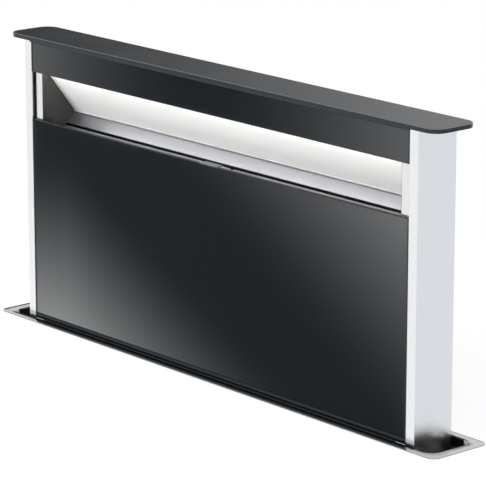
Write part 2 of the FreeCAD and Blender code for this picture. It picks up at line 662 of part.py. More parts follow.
def pulley(z, bore_r):
    """A toothed pulley with a thin flange at each side of the belt."""
    wheel = cylinder(PULLEY_R, (PULLEY_INNER_X, BELT_Y, z), (PULLEY_OUTER_X, BELT_Y, z))
    for index in range(PULLEY_TEETH):
        angle = 2 * math.pi * index / PULLEY_TEETH
        gap = cylinder(PULLEY_TOOTH_DEPTH, (BELT_INNER_X, BELT_Y + PULLEY_R * math.cos(angle),
                                            z + PULLEY_R * math.sin(angle)),
                       (BELT_OUTER_X, BELT_Y + PULLEY_R * math.cos(angle), z + PULLEY_R * math.sin(angle)))
        wheel = wheel.cut(gap)
    for x in (PULLEY_INNER_X, PULLEY_OUTER_X - PULLEY_FLANGE_THICK):
        wheel = wheel.fuse(cylinder(PULLEY_FLANGE_R, (x, BELT_Y, z), (x + PULLEY_FLANGE_THICK, BELT_Y, z)))
    bore = cylinder(bore_r, (PULLEY_INNER_X, BELT_Y, z), (PULLEY_OUTER_X, BELT_Y, z))
    return wheel.removeSplitter().cut(bore)


def end_wall_block(thick, half_width, z):
    """A block behind the belt that fits the end wall and its round corner."""
    block = box(LIP_OUTER_X - thick, LIP_OUTER_X, BELT_Y - half_width, BELT_Y + half_width, z - half_width,
                z + half_width)
    return block.common(rounded_block(LIP_OUTER_X, LIP_OUTER_Y, z - half_width, z + half_width, LIP_OUTER_R))


def idler_bracket():
    """A plate on the end wall with the pin that the idler pulley turns on."""
    plate = end_wall_block(BEARING_THICK, PULLEY_FLANGE_R, -IDLER_DROP)
    pin = cylinder(IDLER_PIN_R, (PULLEY_INNER_X, BELT_Y, -IDLER_DROP),
                   (LIP_OUTER_X - BEARING_THICK / 2, BELT_Y, -IDLER_DROP))
    return plate.fuse(pin).removeSplitter()


def shaft_bearing():
    """A bearing block on the end wall for the drive shaft."""
    block = end_wall_block(BEARING_THICK, BEARING_SIZE / 2, SHAFT_Z)
    bore = cylinder(SHAFT_R + RUNNING_CLEARANCE, (LIP_OUTER_X - BEARING_THICK, BELT_Y, SHAFT_Z),
                    (LIP_OUTER_X, BELT_Y, SHAFT_Z))
    return block.cut(bore)


def belt_clamp():
    """The block on the column that grips the belt's inner run."""
    run_y = BELT_Y - (BELT_INNER_R + BELT_OUTER_R) / 2
    half_slot = BELT_THICK / 2 + BELT_GAP
    block = box(HALF_TOWER, BELT_OUTER_X + BELT_GAP, run_y - CLAMP_GRIP, run_y + CLAMP_GRIP,
                -CLAMP_DROP - CLAMP_HEIGHT, -CLAMP_DROP)
    slot = box(BELT_INNER_X - BELT_GAP, BELT_OUTER_X + BELT_GAP, run_y - half_slot, run_y + half_slot,
               -CLAMP_DROP - CLAMP_HEIGHT, -CLAMP_DROP)
    return block.cut(slot)


def drive_shaft():
    """The bar that turns both drive pulleys together."""
    end = LIP_OUTER_X - SHAFT_END_GAP
    return cylinder(SHAFT_R, (-end, BELT_Y, SHAFT_Z), (end, BELT_Y, SHAFT_Z))


def lift_gearbox():
    """The gear case round the drive shaft."""
    half = GEARBOX_WIDTH / 2
    back = LIP_OUTER_Y - SHEET
    case = box(GEARBOX_X - half, GEARBOX_X + half, back - GEARBOX_DEPTH, back, SHAFT_Z - GEARBOX_HEIGHT / 2,
               SHAFT_Z + GEARBOX_HEIGHT / 2)
    along = [edge for edge in case.Edges if edge.BoundBox.XLength > GEARBOX_WIDTH / 2
             and edge.CenterOfMass.y < back - SHEET]
    case = case.makeFillet(MOTOR_R / 2, along)
    bore = cylinder(SHAFT_R + RUNNING_CLEARANCE, (GEARBOX_X - half, BELT_Y, SHAFT_Z),
                    (GEARBOX_X + half, BELT_Y, SHAFT_Z))
    return case.cut(bore)


def lift_motor():
    """The motor can beside the shaft, with a stepped end cap."""
    start = GEARBOX_X + GEARBOX_WIDTH / 2
    y = BELT_Y - MOTOR_OFFSET
    end = start + MOTOR_LENGTH
    profile = [(start, 0), (start, MOTOR_R), (end, MOTOR_R), (end + BEARING_THICK, MOTOR_R * 0.6),
               (end + BEARING_THICK, 0)]
    points = [(x, y, SHAFT_Z + r) for x, r in profile]
    return revolve(points, (start, y, SHAFT_Z), (1, 0, 0))


# ---- housing --------------------------------------------------------------------------------------
def housing_end():
    """A channel with round corners that closes one end of the housing."""
    outer = rounded_block(LIP_OUTER_X + SHEET, LIP_OUTER_Y + SHEET, HOUSING_BOTTOM, HOUSING_TOP,
                          LIP_OUTER_R + SHEET)
    inner = rounded_block(LIP_OUTER_X, LIP_OUTER_Y, HOUSING_BOTTOM, HOUSING_TOP, LIP_OUTER_R)
    start = LIP_OUTER_X - HOUSING_RETURN
    keep = box(start, 2 * LIP_OUTER_X, -FLANGE_DEPTH, FLANGE_DEPTH, HOUSING_BOTTOM, HOUSING_TOP)
    channel = outer.cut(inner).common(keep)
    return channel.cut(screw_cutters())


def screw_places():
    """The middle of each housing screw on the outside of the front and back returns."""
    x = LIP_OUTER_X - HOUSING_RETURN + PANEL_LAP / 2
    low = HOUSING_BOTTOM + SCREW_FLOOR_GAP
    pitch = (-SCREW_TOP_DROP - low) / (SCREW_ROW_COUNT - 1)
    rows = [low + index * pitch for index in range(SCREW_ROW_COUNT)]
    return [(sx * x, sy * (LIP_OUTER_Y + SHEET), z) for sx in (-1, 1) for sy in (-1, 1) for z in rows]


def screw_cutters():
    """One compound of holes for the housing screws' shanks."""
    hole_r = SCREW_SHANK_R
    return Part.makeCompound([cylinder(hole_r, (x, y, z), (x, y - math.copysign(SCREW_SHANK, y), z))
                              for x, y, z in screw_places()])


def housing_screws():
    """Hexagon-headed screws through the returns into the panels."""
    screws = []
    angles = [math.pi * corner / 3 for corner in range(6)]
    for x, y, z in screw_places():
        out = math.copysign(1.0, y)
        corners = [(x + SCREW_HEAD_R * math.cos(angle), y, z + SCREW_HEAD_R * math.sin(angle))
                   for angle in angles]
        head = extrude_polygon(corners, (0, out * SCREW_HEAD_HEIGHT, 0))
        shank = cylinder(SCREW_SHANK_R, (x, y, z), (x, y - out * SCREW_SHANK, z))
        screws.append(head.fuse(shank))
    return screws


def housing_panel(side):
    """A flat front (-1) or back (+1) panel, lapped inside the end channels."""
    half = LIP_OUTER_X - HOUSING_RETURN + PANEL_LAP
    panel = box(-half, half, side * PANEL_INNER_Y, side * LIP_OUTER_Y, HOUSING_BOTTOM, LIP_BOTTOM)
    if side < 0:
        panel = panel.cut(cylinder(INLET_MOUTH_R, (FAN_X, -LIP_OUTER_Y, FAN_Z),
                                   (FAN_X, -PANEL_INNER_Y, FAN_Z)))
    return panel.cut(screw_cutters())


def housing_floor():
    """A shallow tray that closes the housing's bottom and holds spills."""
    rim = HOUSING_BOTTOM + FLOOR_RIM
    outer = rounded_block(LIP_OUTER_X, PANEL_INNER_Y, HOUSING_BOTTOM, rim, OPENING_CORNER_R)
    inner = rounded_block(LIP_OUTER_X - SHEET, PANEL_INNER_Y - SHEET, HOUSING_BOTTOM + SHEET, rim,
                          OPENING_CORNER_R - SHEET)
    return outer.cut(inner)


def clamp_bracket():
    """An angle bracket on the housing's end, with the threaded hole for the worktop clamp bolt."""
    wall = LIP_OUTER_X + SHEET
    half = CLAMP_BRACKET_WIDTH / 2
    shelf_z = -CLAMP_SHELF_DROP
    foot_z = shelf_z - CLAMP_BRACKET_TALL
    plate = box(wall, wall + CLAMP_BRACKET_THICK, -half, half, foot_z, shelf_z)
    shelf = box(wall, wall + CLAMP_SHELF_REACH, -half, half, shelf_z - CLAMP_BRACKET_THICK, shelf_z)
    bolt_x = wall + CLAMP_SHELF_REACH / 2
    nut = cylinder(2 * CLAMP_BOLT_R, (bolt_x, 0, shelf_z - 2 * CLAMP_BRACKET_THICK), (bolt_x, 0, shelf_z))
    tip = (wall + CLAMP_SHELF_REACH, shelf_z - CLAMP_BRACKET_THICK)
    gusset = [extrude_polygon([(wall, y, shelf_z), (tip[0], y, tip[1]), (wall, y, foot_z)],
                              (0, CLAMP_BRACKET_THICK, 0))
              for y in (-half, half - CLAMP_BRACKET_THICK)]
    bracket = plate.fuse([shelf, nut] + gusset).removeSplitter()
    bore = cylinder(CLAMP_BOLT_R + RUNNING_CLEARANCE, (bolt_x, 0, foot_z), (bolt_x, 0, shelf_z))
    return bracket.cut(bore)


def clamp_bolt():
    """A bolt with a pressure pad that is screwed up against the worktop's underside."""
    x = LIP_OUTER_X + SHEET + CLAMP_SHELF_REACH / 2
    top = -WORKTOP_THICK
    pad = cylinder(CLAMP_PAD_R, (x, 0, top - CLAMP_PAD_THICK), (x, 0, top))
    shank = cylinder(CLAMP_BOLT_R, (x, 0, top - CLAMP_BOLT_LENGTH), (x, 0, top - CLAMP_PAD_THICK))
    low = top - CLAMP_BOLT_LENGTH - CLAMP_HEAD_HEIGHT
    corners = [(x + CLAMP_HEAD_R * math.cos(math.pi * k / 3), CLAMP_HEAD_R * math.sin(math.pi * k / 3), low)
               for k in range(6)]
    head = extrude_polygon(corners, (0, 0, CLAMP_HEAD_HEIGHT))
    return pad.fuse([shank, head]).removeSplitter()


def leg_bracket():
    """A folded foot plate under the housing floor, with a threaded bush for the levelling foot."""
    half = LEG_CROWN / 2
    low = HOUSING_BOTTOM - LEG_HEIGHT
    path = [(-half - LEG_FLANGE, low + LEG_THICK), (-half, low + LEG_THICK), (-half, HOUSING_BOTTOM),
            (half, HOUSING_BOTTOM), (half, low + LEG_THICK), (half + LEG_FLANGE, low + LEG_THICK)]
    leg = bent_sheet(path[::-1], LEG_THICK, LEG_X - LEG_WIDTH / 2, LEG_X + LEG_WIDTH / 2)
    under = HOUSING_BOTTOM - LEG_THICK
    bush_end = (LEG_X, 0, under - LEG_BUSH_LENGTH)
    leg = leg.fuse(cylinder(LEG_BUSH_R, bush_end, (LEG_X, 0, under)))
    leg = leg.cut(cylinder(FOOT_STUD_R + RUNNING_CLEARANCE, bush_end, (LEG_X, 0, under)))
    for y in (-LEG_HOLE_Y, LEG_HOLE_Y):
        leg = leg.cut(cylinder(LEG_HOLE_R, (LEG_X, y, low - LEG_THICK), (LEG_X, y, low + 2 * LEG_THICK)))
    return leg


def levelling_foot():
    """A threaded stud with a pad, screwed down to meet the cabinet floor."""
    low = HOUSING_BOTTOM - LEG_HEIGHT
    top = HOUSING_BOTTOM - LEG_THICK - FOOT_TOP_GAP
    pad_top = low + FOOT_PAD_THICK
    profile = [(0, low), (FOOT_PAD_R, low), (FOOT_PAD_R, low + FOOT_PAD_THICK / 2), (FOOT_STUD_R, pad_top),
               (FOOT_STUD_R, top), (0, top)]
    return revolve([(LEG_X + r, 0, z) for r, z in profile], (LEG_X, 0, low), (0, 0, 1))


# ---- fan ------------------------------------------------------------------------------------------
def scroll_region(grow, y0, y1):
    """The inside of the spiral casing, grown by a wall, as a solid between two depths.

    The spiral's radius rises steadily, clockwise from the tongue to the outlet, seen from the front.
    """
    sweep = 2 * math.pi - math.radians(SCROLL_TONGUE_DEG)
    points = []
    for index in range(SCROLL_POINTS):
        share = index / (SCROLL_POINTS - 1)
        angle = -math.radians(SCROLL_TONGUE_DEG) - share * sweep
        radius = SCROLL_START_R + (SCROLL_END_R - SCROLL_START_R) * share + grow
        points.append(Vector(FAN_X + radius * math.cos(angle), y0, FAN_Z + radius * math.sin(angle)))
    curve = Part.BSplineCurve()
    curve.interpolate(points)
    spiral = Part.Face(Part.Wire([curve.toShape(), Part.makeLine(points[-1], points[0])]))
    outlet = box(SCROLL_OUTLET_X - grow, FAN_X + SCROLL_END_R + grow, y0, y1, ADAPTER_TOP, FAN_Z)
    return spiral.extrude(Vector(0, y1 - y0, 0)).fuse(outlet).removeSplitter()


def fan_scroll():
    """The moulded scroll: a back plate and the spiral wall, open at the front and at the outlet."""
    outer = scroll_region(FAN_WALL, FAN_FRONT, FAN_BACK)
    inner = scroll_region(0, FAN_FRONT, FAN_BACK - FAN_WALL)
    hole = cylinder(SCROLL_BACK_HOLE_R, (FAN_X, FAN_BACK - FAN_WALL, FAN_Z), (FAN_X, FAN_BACK, FAN_Z))
    return outer.cut([inner, hole])


def fan_cover():
    """The front plate of the scroll, with a hole for the motor's nose."""
    plate = scroll_region(FAN_WALL, FAN_FRONT - FAN_WALL, FAN_FRONT)
    return plate.cut(cylinder(HUB_R, (FAN_X, FAN_FRONT - FAN_WALL, FAN_Z), (FAN_X, FAN_FRONT, FAN_Z)))


def inlet_ring():
    """The bellmouth between the housing panel and the impeller's eye."""
    start = FAN_BACK
    mouth = Vector(FAN_X + INLET_MOUTH_R, start, FAN_Z)
    throat = Vector(FAN_X + INLET_THROAT_R, start - INLET_LENGTH, FAN_Z)
    middle = Vector(FAN_X + INLET_MOUTH_R - (INLET_MOUTH_R - INLET_THROAT_R) * math.sqrt(0.5),
                    start - INLET_LENGTH * (1 - math.sqrt(0.5)), FAN_Z)
    wall = Vector(FAN_WALL, 0, 0)
    lower = Vector(0, -FAN_WALL, 0)
    rim = Vector(FAN_X + INLET_FLANGE_R, start, FAN_Z)
    edges = [Part.Arc(mouth, middle, throat).toShape(), Part.makeLine(throat, throat + wall),
             Part.Arc(throat + wall, middle + wall + lower * 0.5, mouth + wall + lower).toShape(),
             Part.makeLine(mouth + wall + lower, rim + lower), Part.makeLine(rim + lower, rim),
             Part.makeLine(rim, mouth)]
    face = Part.Face(Part.Wire(edges))
    return face.revolve(Vector(FAN_X, start, FAN_Z), Vector(0, 1, 0), 360)


def impeller():
    """A forward-curved fan wheel: a back plate with a hub, curved blades and a shroud ring."""
    front = FAN_FRONT + IMPELLER_REAR_GAP
    back = FAN_BACK - INLET_LENGTH - IMPELLER_FRONT_GAP
    plate = cylinder(IMPELLER_R, (FAN_X, front, FAN_Z), (FAN_X, front + IMPELLER_PLATE, FAN_Z))
    hub = cylinder(HUB_R, (FAN_X, front, FAN_Z), (FAN_X, front + HUB_LENGTH, FAN_Z))
    ring = cylinder(IMPELLER_R, (FAN_X, back - IMPELLER_PLATE, FAN_Z), (FAN_X, back, FAN_Z))
    ring = ring.cut(cylinder(IMPELLER_EYE_R, (FAN_X, back - IMPELLER_PLATE, FAN_Z), (FAN_X, back, FAN_Z)))
    start = Vector(IMPELLER_EYE_R, 0, 0)
    lead = math.radians(BLADE_LEAD_DEG)
    end = Vector(math.cos(lead), 0, math.sin(lead)) * (IMPELLER_R - BLADE_THICK)
    chord = end - start
    normal = Vector(-chord.z, 0, chord.x).normalize()
    sag = BLADE_CURVE_R - math.sqrt(BLADE_CURVE_R ** 2 - (chord.Length / 2) ** 2)
    middle = start + chord * 0.5 - normal * sag
    skin = normal * BLADE_THICK
    edges = [Part.Arc(start, middle, end).toShape(), Part.makeLine(end, end + skin),
             Part.Arc(end + skin, middle + skin, start + skin).toShape(), Part.makeLine(start + skin, start)]
    blade = Part.Face(Part.Wire(edges)).extrude(Vector(0, back - front - IMPELLER_PLATE, 0))
    blade.translate(Vector(FAN_X, front + IMPELLER_PLATE / 2, FAN_Z))
    blades = []
    for index in range(IMPELLER_BLADES):
        turned = blade.copy()
        turned.rotate(Vector(FAN_X, 0, FAN_Z), Vector(0, 1, 0), 360.0 * index / IMPELLER_BLADES)
        blades.append(turned)
    wheel = plate.fuse([hub, ring] + blades).removeSplitter()
    return wheel.cut(cylinder(FAN_SHAFT_R, (FAN_X, front, FAN_Z), (FAN_X, front + HUB_LENGTH, FAN_Z)))


def fan_shaft():
    """The motor's shaft, pressed into the impeller's hub."""
    start = FAN_FRONT - FAN_WALL - FAN_SHAFT_IN_MOTOR
    end = FAN_FRONT + IMPELLER_REAR_GAP + HUB_LENGTH
    return cylinder(FAN_SHAFT_R, (FAN_X, start, FAN_Z), (FAN_X, end, FAN_Z))


def fan_motor():
    """The finned motor can on the scroll cover."""
    face = FAN_FRONT - FAN_WALL
    seat = face - BEARING_THICK / 2
    end = face - FAN_MOTOR_LENGTH
    profile = [(0, face), (FAN_MOTOR_FLANGE_R, face), (FAN_MOTOR_FLANGE_R, seat), (FAN_MOTOR_R, seat),
               (FAN_MOTOR_R, end + BEARING_THICK), (FAN_MOTOR_R - BEARING_THICK, end), (0, end)]
    motor = revolve([(FAN_X + r, y, FAN_Z) for r, y in profile], (FAN_X, face, FAN_Z), (0, 1, 0))
    slots = []
    for index in range(FAN_MOTOR_FINS):
        angle = 2 * math.pi * index / FAN_MOTOR_FINS
        slot = box(FAN_MOTOR_R - FIN_DEPTH, FAN_MOTOR_R + FIN_DEPTH, face - FAN_MOTOR_LENGTH + BEARING_THICK,
                   face - BEARING_THICK, -FIN_DEPTH, FIN_DEPTH)
        slot.rotate(Vector(0, 0, 0), Vector(0, 1, 0), math.degrees(angle))
        slot.translate(Vector(FAN_X, 0, FAN_Z))
        slots.append(slot)
    bore = cylinder(FAN_SHAFT_R + RUNNING_CLEARANCE, (FAN_X, face - FAN_SHAFT_IN_MOTOR - 1, FAN_Z),
                    (FAN_X, face, FAN_Z))
    return motor.cut(slots + [bore])


def outlet_wire(half_x, y0, y1, z):
    """The scroll outlet's rectangle, as four straight edges."""
    corners = [(DUCT_X - half_x, y0), (DUCT_X + half_x, y0), (DUCT_X + half_x, y1), (DUCT_X - half_x, y1)]
    points = [Vector(x, y, z) for x, y in corners]
    return Part.makePolygon(points + points[:1])


def duct_wire(radius, z):
    """The duct's circle, as four quarter arcs that start where the rectangle's corners do."""
    def at(degrees):
        angle = math.radians(degrees)
        return Vector(DUCT_X + radius * math.cos(angle), DUCT_Y + radius * math.sin(angle), z)
    quarter = 90
    starts = [quarter * (index - 1.5) for index in range(4)]
    return Part.Wire([Part.Arc(at(start), at(start + quarter / 2), at(start + quarter)).toShape()
                      for start in starts])


def duct_adapter():
    """The square-to-round piece between the scroll's outlet and the duct collar."""
    half = DUCT_X - SCROLL_OUTLET_X
    front = FAN_FRONT
    back = FAN_BACK - FAN_WALL
    wall = FAN_WALL
    outer = Part.makeLoft([outlet_wire(half + wall, front - wall, back + wall, ADAPTER_TOP),
                           duct_wire(DUCT_R, COLLAR_TOP)], True, True)
    inner = Part.makeLoft([outlet_wire(half, front, back, ADAPTER_TOP),
                           duct_wire(DUCT_R - DUCT_WALL, COLLAR_TOP)], True, True)
    return outer.cut(inner)


def duct_collar():
    """The spigot for the exhaust duct, with the flap seat and the two hinge pins."""
    tube = cylinder(DUCT_R, (DUCT_X, DUCT_Y, COLLAR_BOTTOM), (DUCT_X, DUCT_Y, COLLAR_TOP))
    bore = cylinder(DUCT_R - DUCT_WALL, (DUCT_X, DUCT_Y, COLLAR_BOTTOM), (DUCT_X, DUCT_Y, COLLAR_TOP))
    seat_top = FLAP_SEAT_Z + DUCT_WALL
    seat = cylinder(DUCT_R, (DUCT_X, DUCT_Y, FLAP_SEAT_Z), (DUCT_X, DUCT_Y, seat_top))
    seat = seat.cut(cylinder(DUCT_R - DUCT_WALL - FLAP_SEAT_WIDTH, (DUCT_X, DUCT_Y, FLAP_SEAT_Z),
                             (DUCT_X, DUCT_Y, seat_top)))
    collar = tube.cut(bore).fuse(seat)
    reach = DUCT_R - DUCT_WALL / 2
    for side in (-1, 1):
        y = DUCT_Y + side * FLAP_PIN_SPACING / 2
        pin = cylinder(FLAP_PIN_R, (DUCT_X - reach, y, FLAP_PIN_Z), (DUCT_X + reach, y, FLAP_PIN_Z))
        collar = collar.fuse(pin)
    return collar.removeSplitter()


def duct_flap(side):
    """A half-round non-return flap with a knuckle that turns on its pin."""
    y = DUCT_Y + side * FLAP_PIN_SPACING / 2
    radius = DUCT_R - DUCT_WALL - FLAP_RIM_GAP
    top = FLAP_PIN_Z + FLAP_KNUCKLE_R
    disc = cylinder(radius, (DUCT_X, DUCT_Y, top - FLAP_THICK), (DUCT_X, DUCT_Y, top))
    half = box(DUCT_X - radius, DUCT_X + radius, y, DUCT_Y + side * radius, top - FLAP_THICK, top)
    reach = radius - 2 * FLAP_KNUCKLE_R
    knuckle = cylinder(FLAP_KNUCKLE_R, (DUCT_X - reach, y, FLAP_PIN_Z), (DUCT_X + reach, y, FLAP_PIN_Z))
    bore = cylinder(FLAP_PIN_R + RUNNING_CLEARANCE, (DUCT_X - DUCT_R, y, FLAP_PIN_Z),
                    (DUCT_X + DUCT_R, y, FLAP_PIN_Z))
    return disc.common(half).fuse(knuckle).cut(bore)


# ---- control box ----------------------------------------------------------------------------------
def control_shell(grow, y0, y1):
    """The control box's outline between two depths, grown or shrunk."""
    half_x = CONTROL_WIDTH / 2 + grow
    half_z = CONTROL_HEIGHT / 2 + grow
    block = box(CONTROL_X - half_x, CONTROL_X + half_x, y0, y1, CONTROL_Z - half_z, CONTROL_Z + half_z)
    along = [edge for edge in block.Edges if edge.BoundBox.YLength > abs(y1 - y0) / 2]
    return block.makeFillet(CONTROL_CORNER_R + grow, along)


def control_box():
    """The open tray of the control box on the housing's front panel."""
    tray = control_shell(0, -LIP_OUTER_Y - CONTROL_DEPTH, -LIP_OUTER_Y)
    tray = tray.cut(control_shell(-CONTROL_WALL, -LIP_OUTER_Y - CONTROL_DEPTH, -LIP_OUTER_Y - CONTROL_WALL))
    return tray.cut(mains_inlet_block(0))


def control_box_lid():
    """The lid, with a rim that drops inside the tray."""
    face = -LIP_OUTER_Y - CONTROL_DEPTH
    lid = control_shell(0, face - CONTROL_WALL, face)
    rim = control_shell(-CONTROL_WALL, face, face + 2 * CONTROL_WALL)
    rim = rim.cut(control_shell(-2 * CONTROL_WALL, face, face + 2 * CONTROL_WALL))
    return lid.fuse(rim).removeSplitter()


def mains_inlet_block(proud):
    """The inlet's body through the bottom wall of the control box."""
    bottom = CONTROL_Z - CONTROL_HEIGHT / 2
    middle_y = -LIP_OUTER_Y - CONTROL_DEPTH / 2
    return box(CONTROL_X - INLET_SOCKET_WIDTH / 2, CONTROL_X + INLET_SOCKET_WIDTH / 2,
               middle_y - INLET_SOCKET_DEPTH / 2, middle_y + INLET_SOCKET_DEPTH / 2,
               bottom - proud, bottom + INLET_SOCKET_HEIGHT - proud)


def mains_inlet():
    """A three-pin appliance inlet, set into the bottom of the control box."""
    body = mains_inlet_block(INLET_SOCKET_PROUD)
    bottom = CONTROL_Z - CONTROL_HEIGHT / 2 - INLET_SOCKET_PROUD
    middle_y = -LIP_OUTER_Y - CONTROL_DEPTH / 2
    wall = CONTROL_WALL
    recess = box(CONTROL_X - INLET_SOCKET_WIDTH / 2 + wall, CONTROL_X + INLET_SOCKET_WIDTH / 2 - wall,
                 middle_y - INLET_SOCKET_DEPTH / 2 + wall, middle_y + INLET_SOCKET_DEPTH / 2 - wall,
                 bottom, bottom + INLET_SOCKET_HEIGHT - wall)
    pins = []
    for column, row in ((-1, -1), (0, 1), (1, -1)):
        x = CONTROL_X + column * INLET_PIN_PITCH
        y = middle_y + row * INLET_PIN_STAGGER
        pins.append(box(x - wall / 2, x + wall / 2, y - wall, y + wall, bottom + wall,
                        bottom + INLET_SOCKET_HEIGHT - wall))
    return body.cut(recess).fuse(pins)


# ---- build ----------------------------------------------------------------------------------------
def build():
    """Write every sub-part."""
    os.makedirs("parts", exist_ok=True)
    save("worktop_flange", worktop_flange())
    save("top_cap", top_cap())
    save("cap_tray", cap_tray())
    save("header_glass", glass_sheet(HEADER_BOTTOM, HEADER_TOP))
    save("light_housing", light_housing())
    save("light_diffuser", light_diffuser())
    save("upper_reflector", upper_reflector())
    save("lower_deflector", lower_deflector())
    save("tower_back_panel", tower_back_panel())
    save("front_skirt", front_skirt())
    save("grease_trough", grease_trough())
    save("tower_foot_frame", tower_foot_frame())
    save("front_glass", glass_sheet(GLASS_BOTTOM, GLASS_TOP))
    save("glass_frame", glass_frame(), *[mirrored(glass_hinge(), side) for _, side in SIDES])
    save("finger_tab", finger_tab())
    save("guide_shoes", *[mirrored(guide_shoe(top), side) for _, side in SIDES
                          for top in (-UPPER_SHOE_DROP, TOWER_BOTTOM + SHOE_LENGTH)])
    save("drive_pulleys", *[mirrored(pulley(SHAFT_Z, SHAFT_R), side) for _, side in SIDES])
    save("belt_clamps", *[mirrored(belt_clamp(), side) for _, side in SIDES])
    save("belt_bearings", *[mirrored(make(), side) for _, side in SIDES
                            for make in (idler_bracket, shaft_bearing)])
    save("side_linings", *[mirrored(side_lining(), side) for _, side in SIDES])
    for name, side in SIDES:
        save("column_" + name, mirrored(column(), side))
        save("slot_profile_" + name, mirrored(slot_profile(), side))
        save("grease_filter_" + name, mirrored(grease_filter(), side))
        save("guide_rail_" + name, mirrored(guide_rail(), side))
        save("lift_belt_" + name, mirrored(belt(), side))
        save("idler_pulley_" + name, mirrored(pulley(-IDLER_DROP, IDLER_PIN_R + RUNNING_CLEARANCE), side))
        save("housing_end_" + name, mirrored(housing_end(), side))
        save("clamp_bolt_" + name, mirrored(clamp_bolt(), side))
        save("levelling_foot_" + name, mirrored(levelling_foot(), side))
    save("drive_shaft", drive_shaft())
    save("lift_gearbox", lift_gearbox())
    save("lift_motor", lift_motor())
    save("housing_front_panel", housing_panel(-1))
    save("housing_back_panel", housing_panel(1))
    save("housing_floor", housing_floor())
    save("housing_screws", *housing_screws())
    save("clamp_brackets", *[mirrored(clamp_bracket(), side) for _, side in SIDES])
    save("leg_brackets", *[mirrored(leg_bracket(), side) for _, side in SIDES])
    save("fan_scroll", fan_scroll())
    save("fan_cover", fan_cover())
    save("inlet_ring", inlet_ring())
    save("impeller", impeller())
    save("fan_shaft", fan_shaft())
    save("fan_motor", fan_motor())
    save("duct_adapter", duct_adapter())
    save("duct_collar", duct_collar())
    save("duct_flap_front", duct_flap(-1))
    save("duct_flap_back", duct_flap(1))
    save("control_box", control_box())
    save("control_box_lid", control_box_lid())
    save("mains_inlet", mains_inlet())


build()
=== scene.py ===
"""A retractable downdraft vent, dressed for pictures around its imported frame.

Everything is in metres in the frame's own axes: +Z up, -Y the glass side, z = 0 the worktop's top.
"""
import json
import logging
import math
from dataclasses import dataclass
from enum import Enum

import bmesh
import bpy
import numpy as np
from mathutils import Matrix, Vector


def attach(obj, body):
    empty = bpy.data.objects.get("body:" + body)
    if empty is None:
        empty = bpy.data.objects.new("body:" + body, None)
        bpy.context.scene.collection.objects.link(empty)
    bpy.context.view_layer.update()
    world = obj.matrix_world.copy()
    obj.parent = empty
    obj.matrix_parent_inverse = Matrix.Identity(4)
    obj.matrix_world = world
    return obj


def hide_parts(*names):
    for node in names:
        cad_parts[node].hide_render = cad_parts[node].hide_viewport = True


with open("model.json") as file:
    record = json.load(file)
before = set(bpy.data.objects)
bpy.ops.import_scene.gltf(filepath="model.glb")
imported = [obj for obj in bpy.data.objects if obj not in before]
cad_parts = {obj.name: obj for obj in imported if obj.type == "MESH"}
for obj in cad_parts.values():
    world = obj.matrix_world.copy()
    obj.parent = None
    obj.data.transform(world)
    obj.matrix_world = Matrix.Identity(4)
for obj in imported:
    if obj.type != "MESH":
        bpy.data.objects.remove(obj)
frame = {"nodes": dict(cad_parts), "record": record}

LOG = logging.getLogger("vent")
MM = 0.001
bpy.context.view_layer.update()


class Axis(Enum):
    """One of the frame's axes, as an index."""

    X = 0
    Y = 1
    Z = 2


# ---- surfaces -------------------------------------------------------------------------------------
@dataclass
class Patch:
    """Points and faces of one surface, ready to be joined with others.

    Args:
        points: an array of points, one row each.
        faces: tuples of point numbers.
    """

    points: np.ndarray
    faces: list[tuple[int, ...]]


def grid_patch(grid: np.ndarray, wrap_rows: bool = False, wrap_columns: bool = True,
               caps: bool = True) -> Patch:
    """Join a grid of points into quads: each point with its neighbours along both parameters.

    Args:
        grid: points as rows x columns x 3.
        wrap_rows: joins the last row to the first.
        wrap_columns: joins the last column to the first.
        caps: closes the first and last row with one face each.

    Returns:
        The patch.
    """
    rows, columns = grid.shape[:2]
    numbers = np.arange(rows * columns).reshape(rows, columns)
    after = np.roll(numbers, -1, axis=0)
    beside = np.roll(numbers, -1, axis=1)
    corner = np.roll(after, -1, axis=1)
    quads = np.stack([numbers, beside, corner, after], axis=-1)
    quads = quads[:rows if wrap_rows else rows - 1, :columns if wrap_columns else columns - 1]
    faces = [tuple(quad) for quad in quads.reshape(-1, 4).tolist()]
    if caps and wrap_columns and not wrap_rows:
        faces.append(tuple(numbers[0, ::-1].tolist()))
        faces.append(tuple(numbers[-1].tolist()))
    return Patch(grid.reshape(-1, 3), faces)


def joined(patches: list[Patch]) -> Patch:
    """Put several patches into one, counting each one's points on from the last.

    Args:
        patches: the patches to join.

    Returns:
        One patch.
    """
    faces: list[tuple[int, ...]] = []
    start = 0
    for patch in patches:
        faces += [tuple(number + start for number in face) for face in patch.faces]
        start += len(patch.points)
    return Patch(np.concatenate([patch.points for patch in patches]), faces)


def on_axis(grid: np.ndarray, axis: Axis) -> np.ndarray:
    """Turn a grid made about Z so that it lies about another axis, keeping it right-handed.

    Args:
        grid: points whose last coordinate runs along the wanted axis.
        axis: the axis to lie on.

    Returns:
        The turned grid.
    """
    order = {Axis.X: [2, 0, 1], Axis.Y: [1, 2, 0], Axis.Z: [0, 1, 2]}[axis]
    return grid[..., order]


def turned(profile: list[tuple[float, float]], centre: tuple[float, float, float], axis: Axis,
           sides: int = 32) -> Patch:
    """A turned shape: the point at angle t of a profile point (r, h) is (r cos t, r sin t, h).

    Args:
        profile: (radius, height) pairs from one end to the other.
        centre: where height 0 is.
        axis: the axis that the shape is turned about.
        sides: how many steps go round.

    Returns:
        A closed patch.
    """
    angle = np.arange(sides) * 2 * np.pi / sides
    radius, height = np.array(profile).T
    grid = np.stack([radius[:, None] * np.cos(angle), radius[:, None] * np.sin(angle),
                     height[:, None] + 0 * angle], axis=-1)
    return grid_patch(on_axis(grid, axis) + np.array(centre))


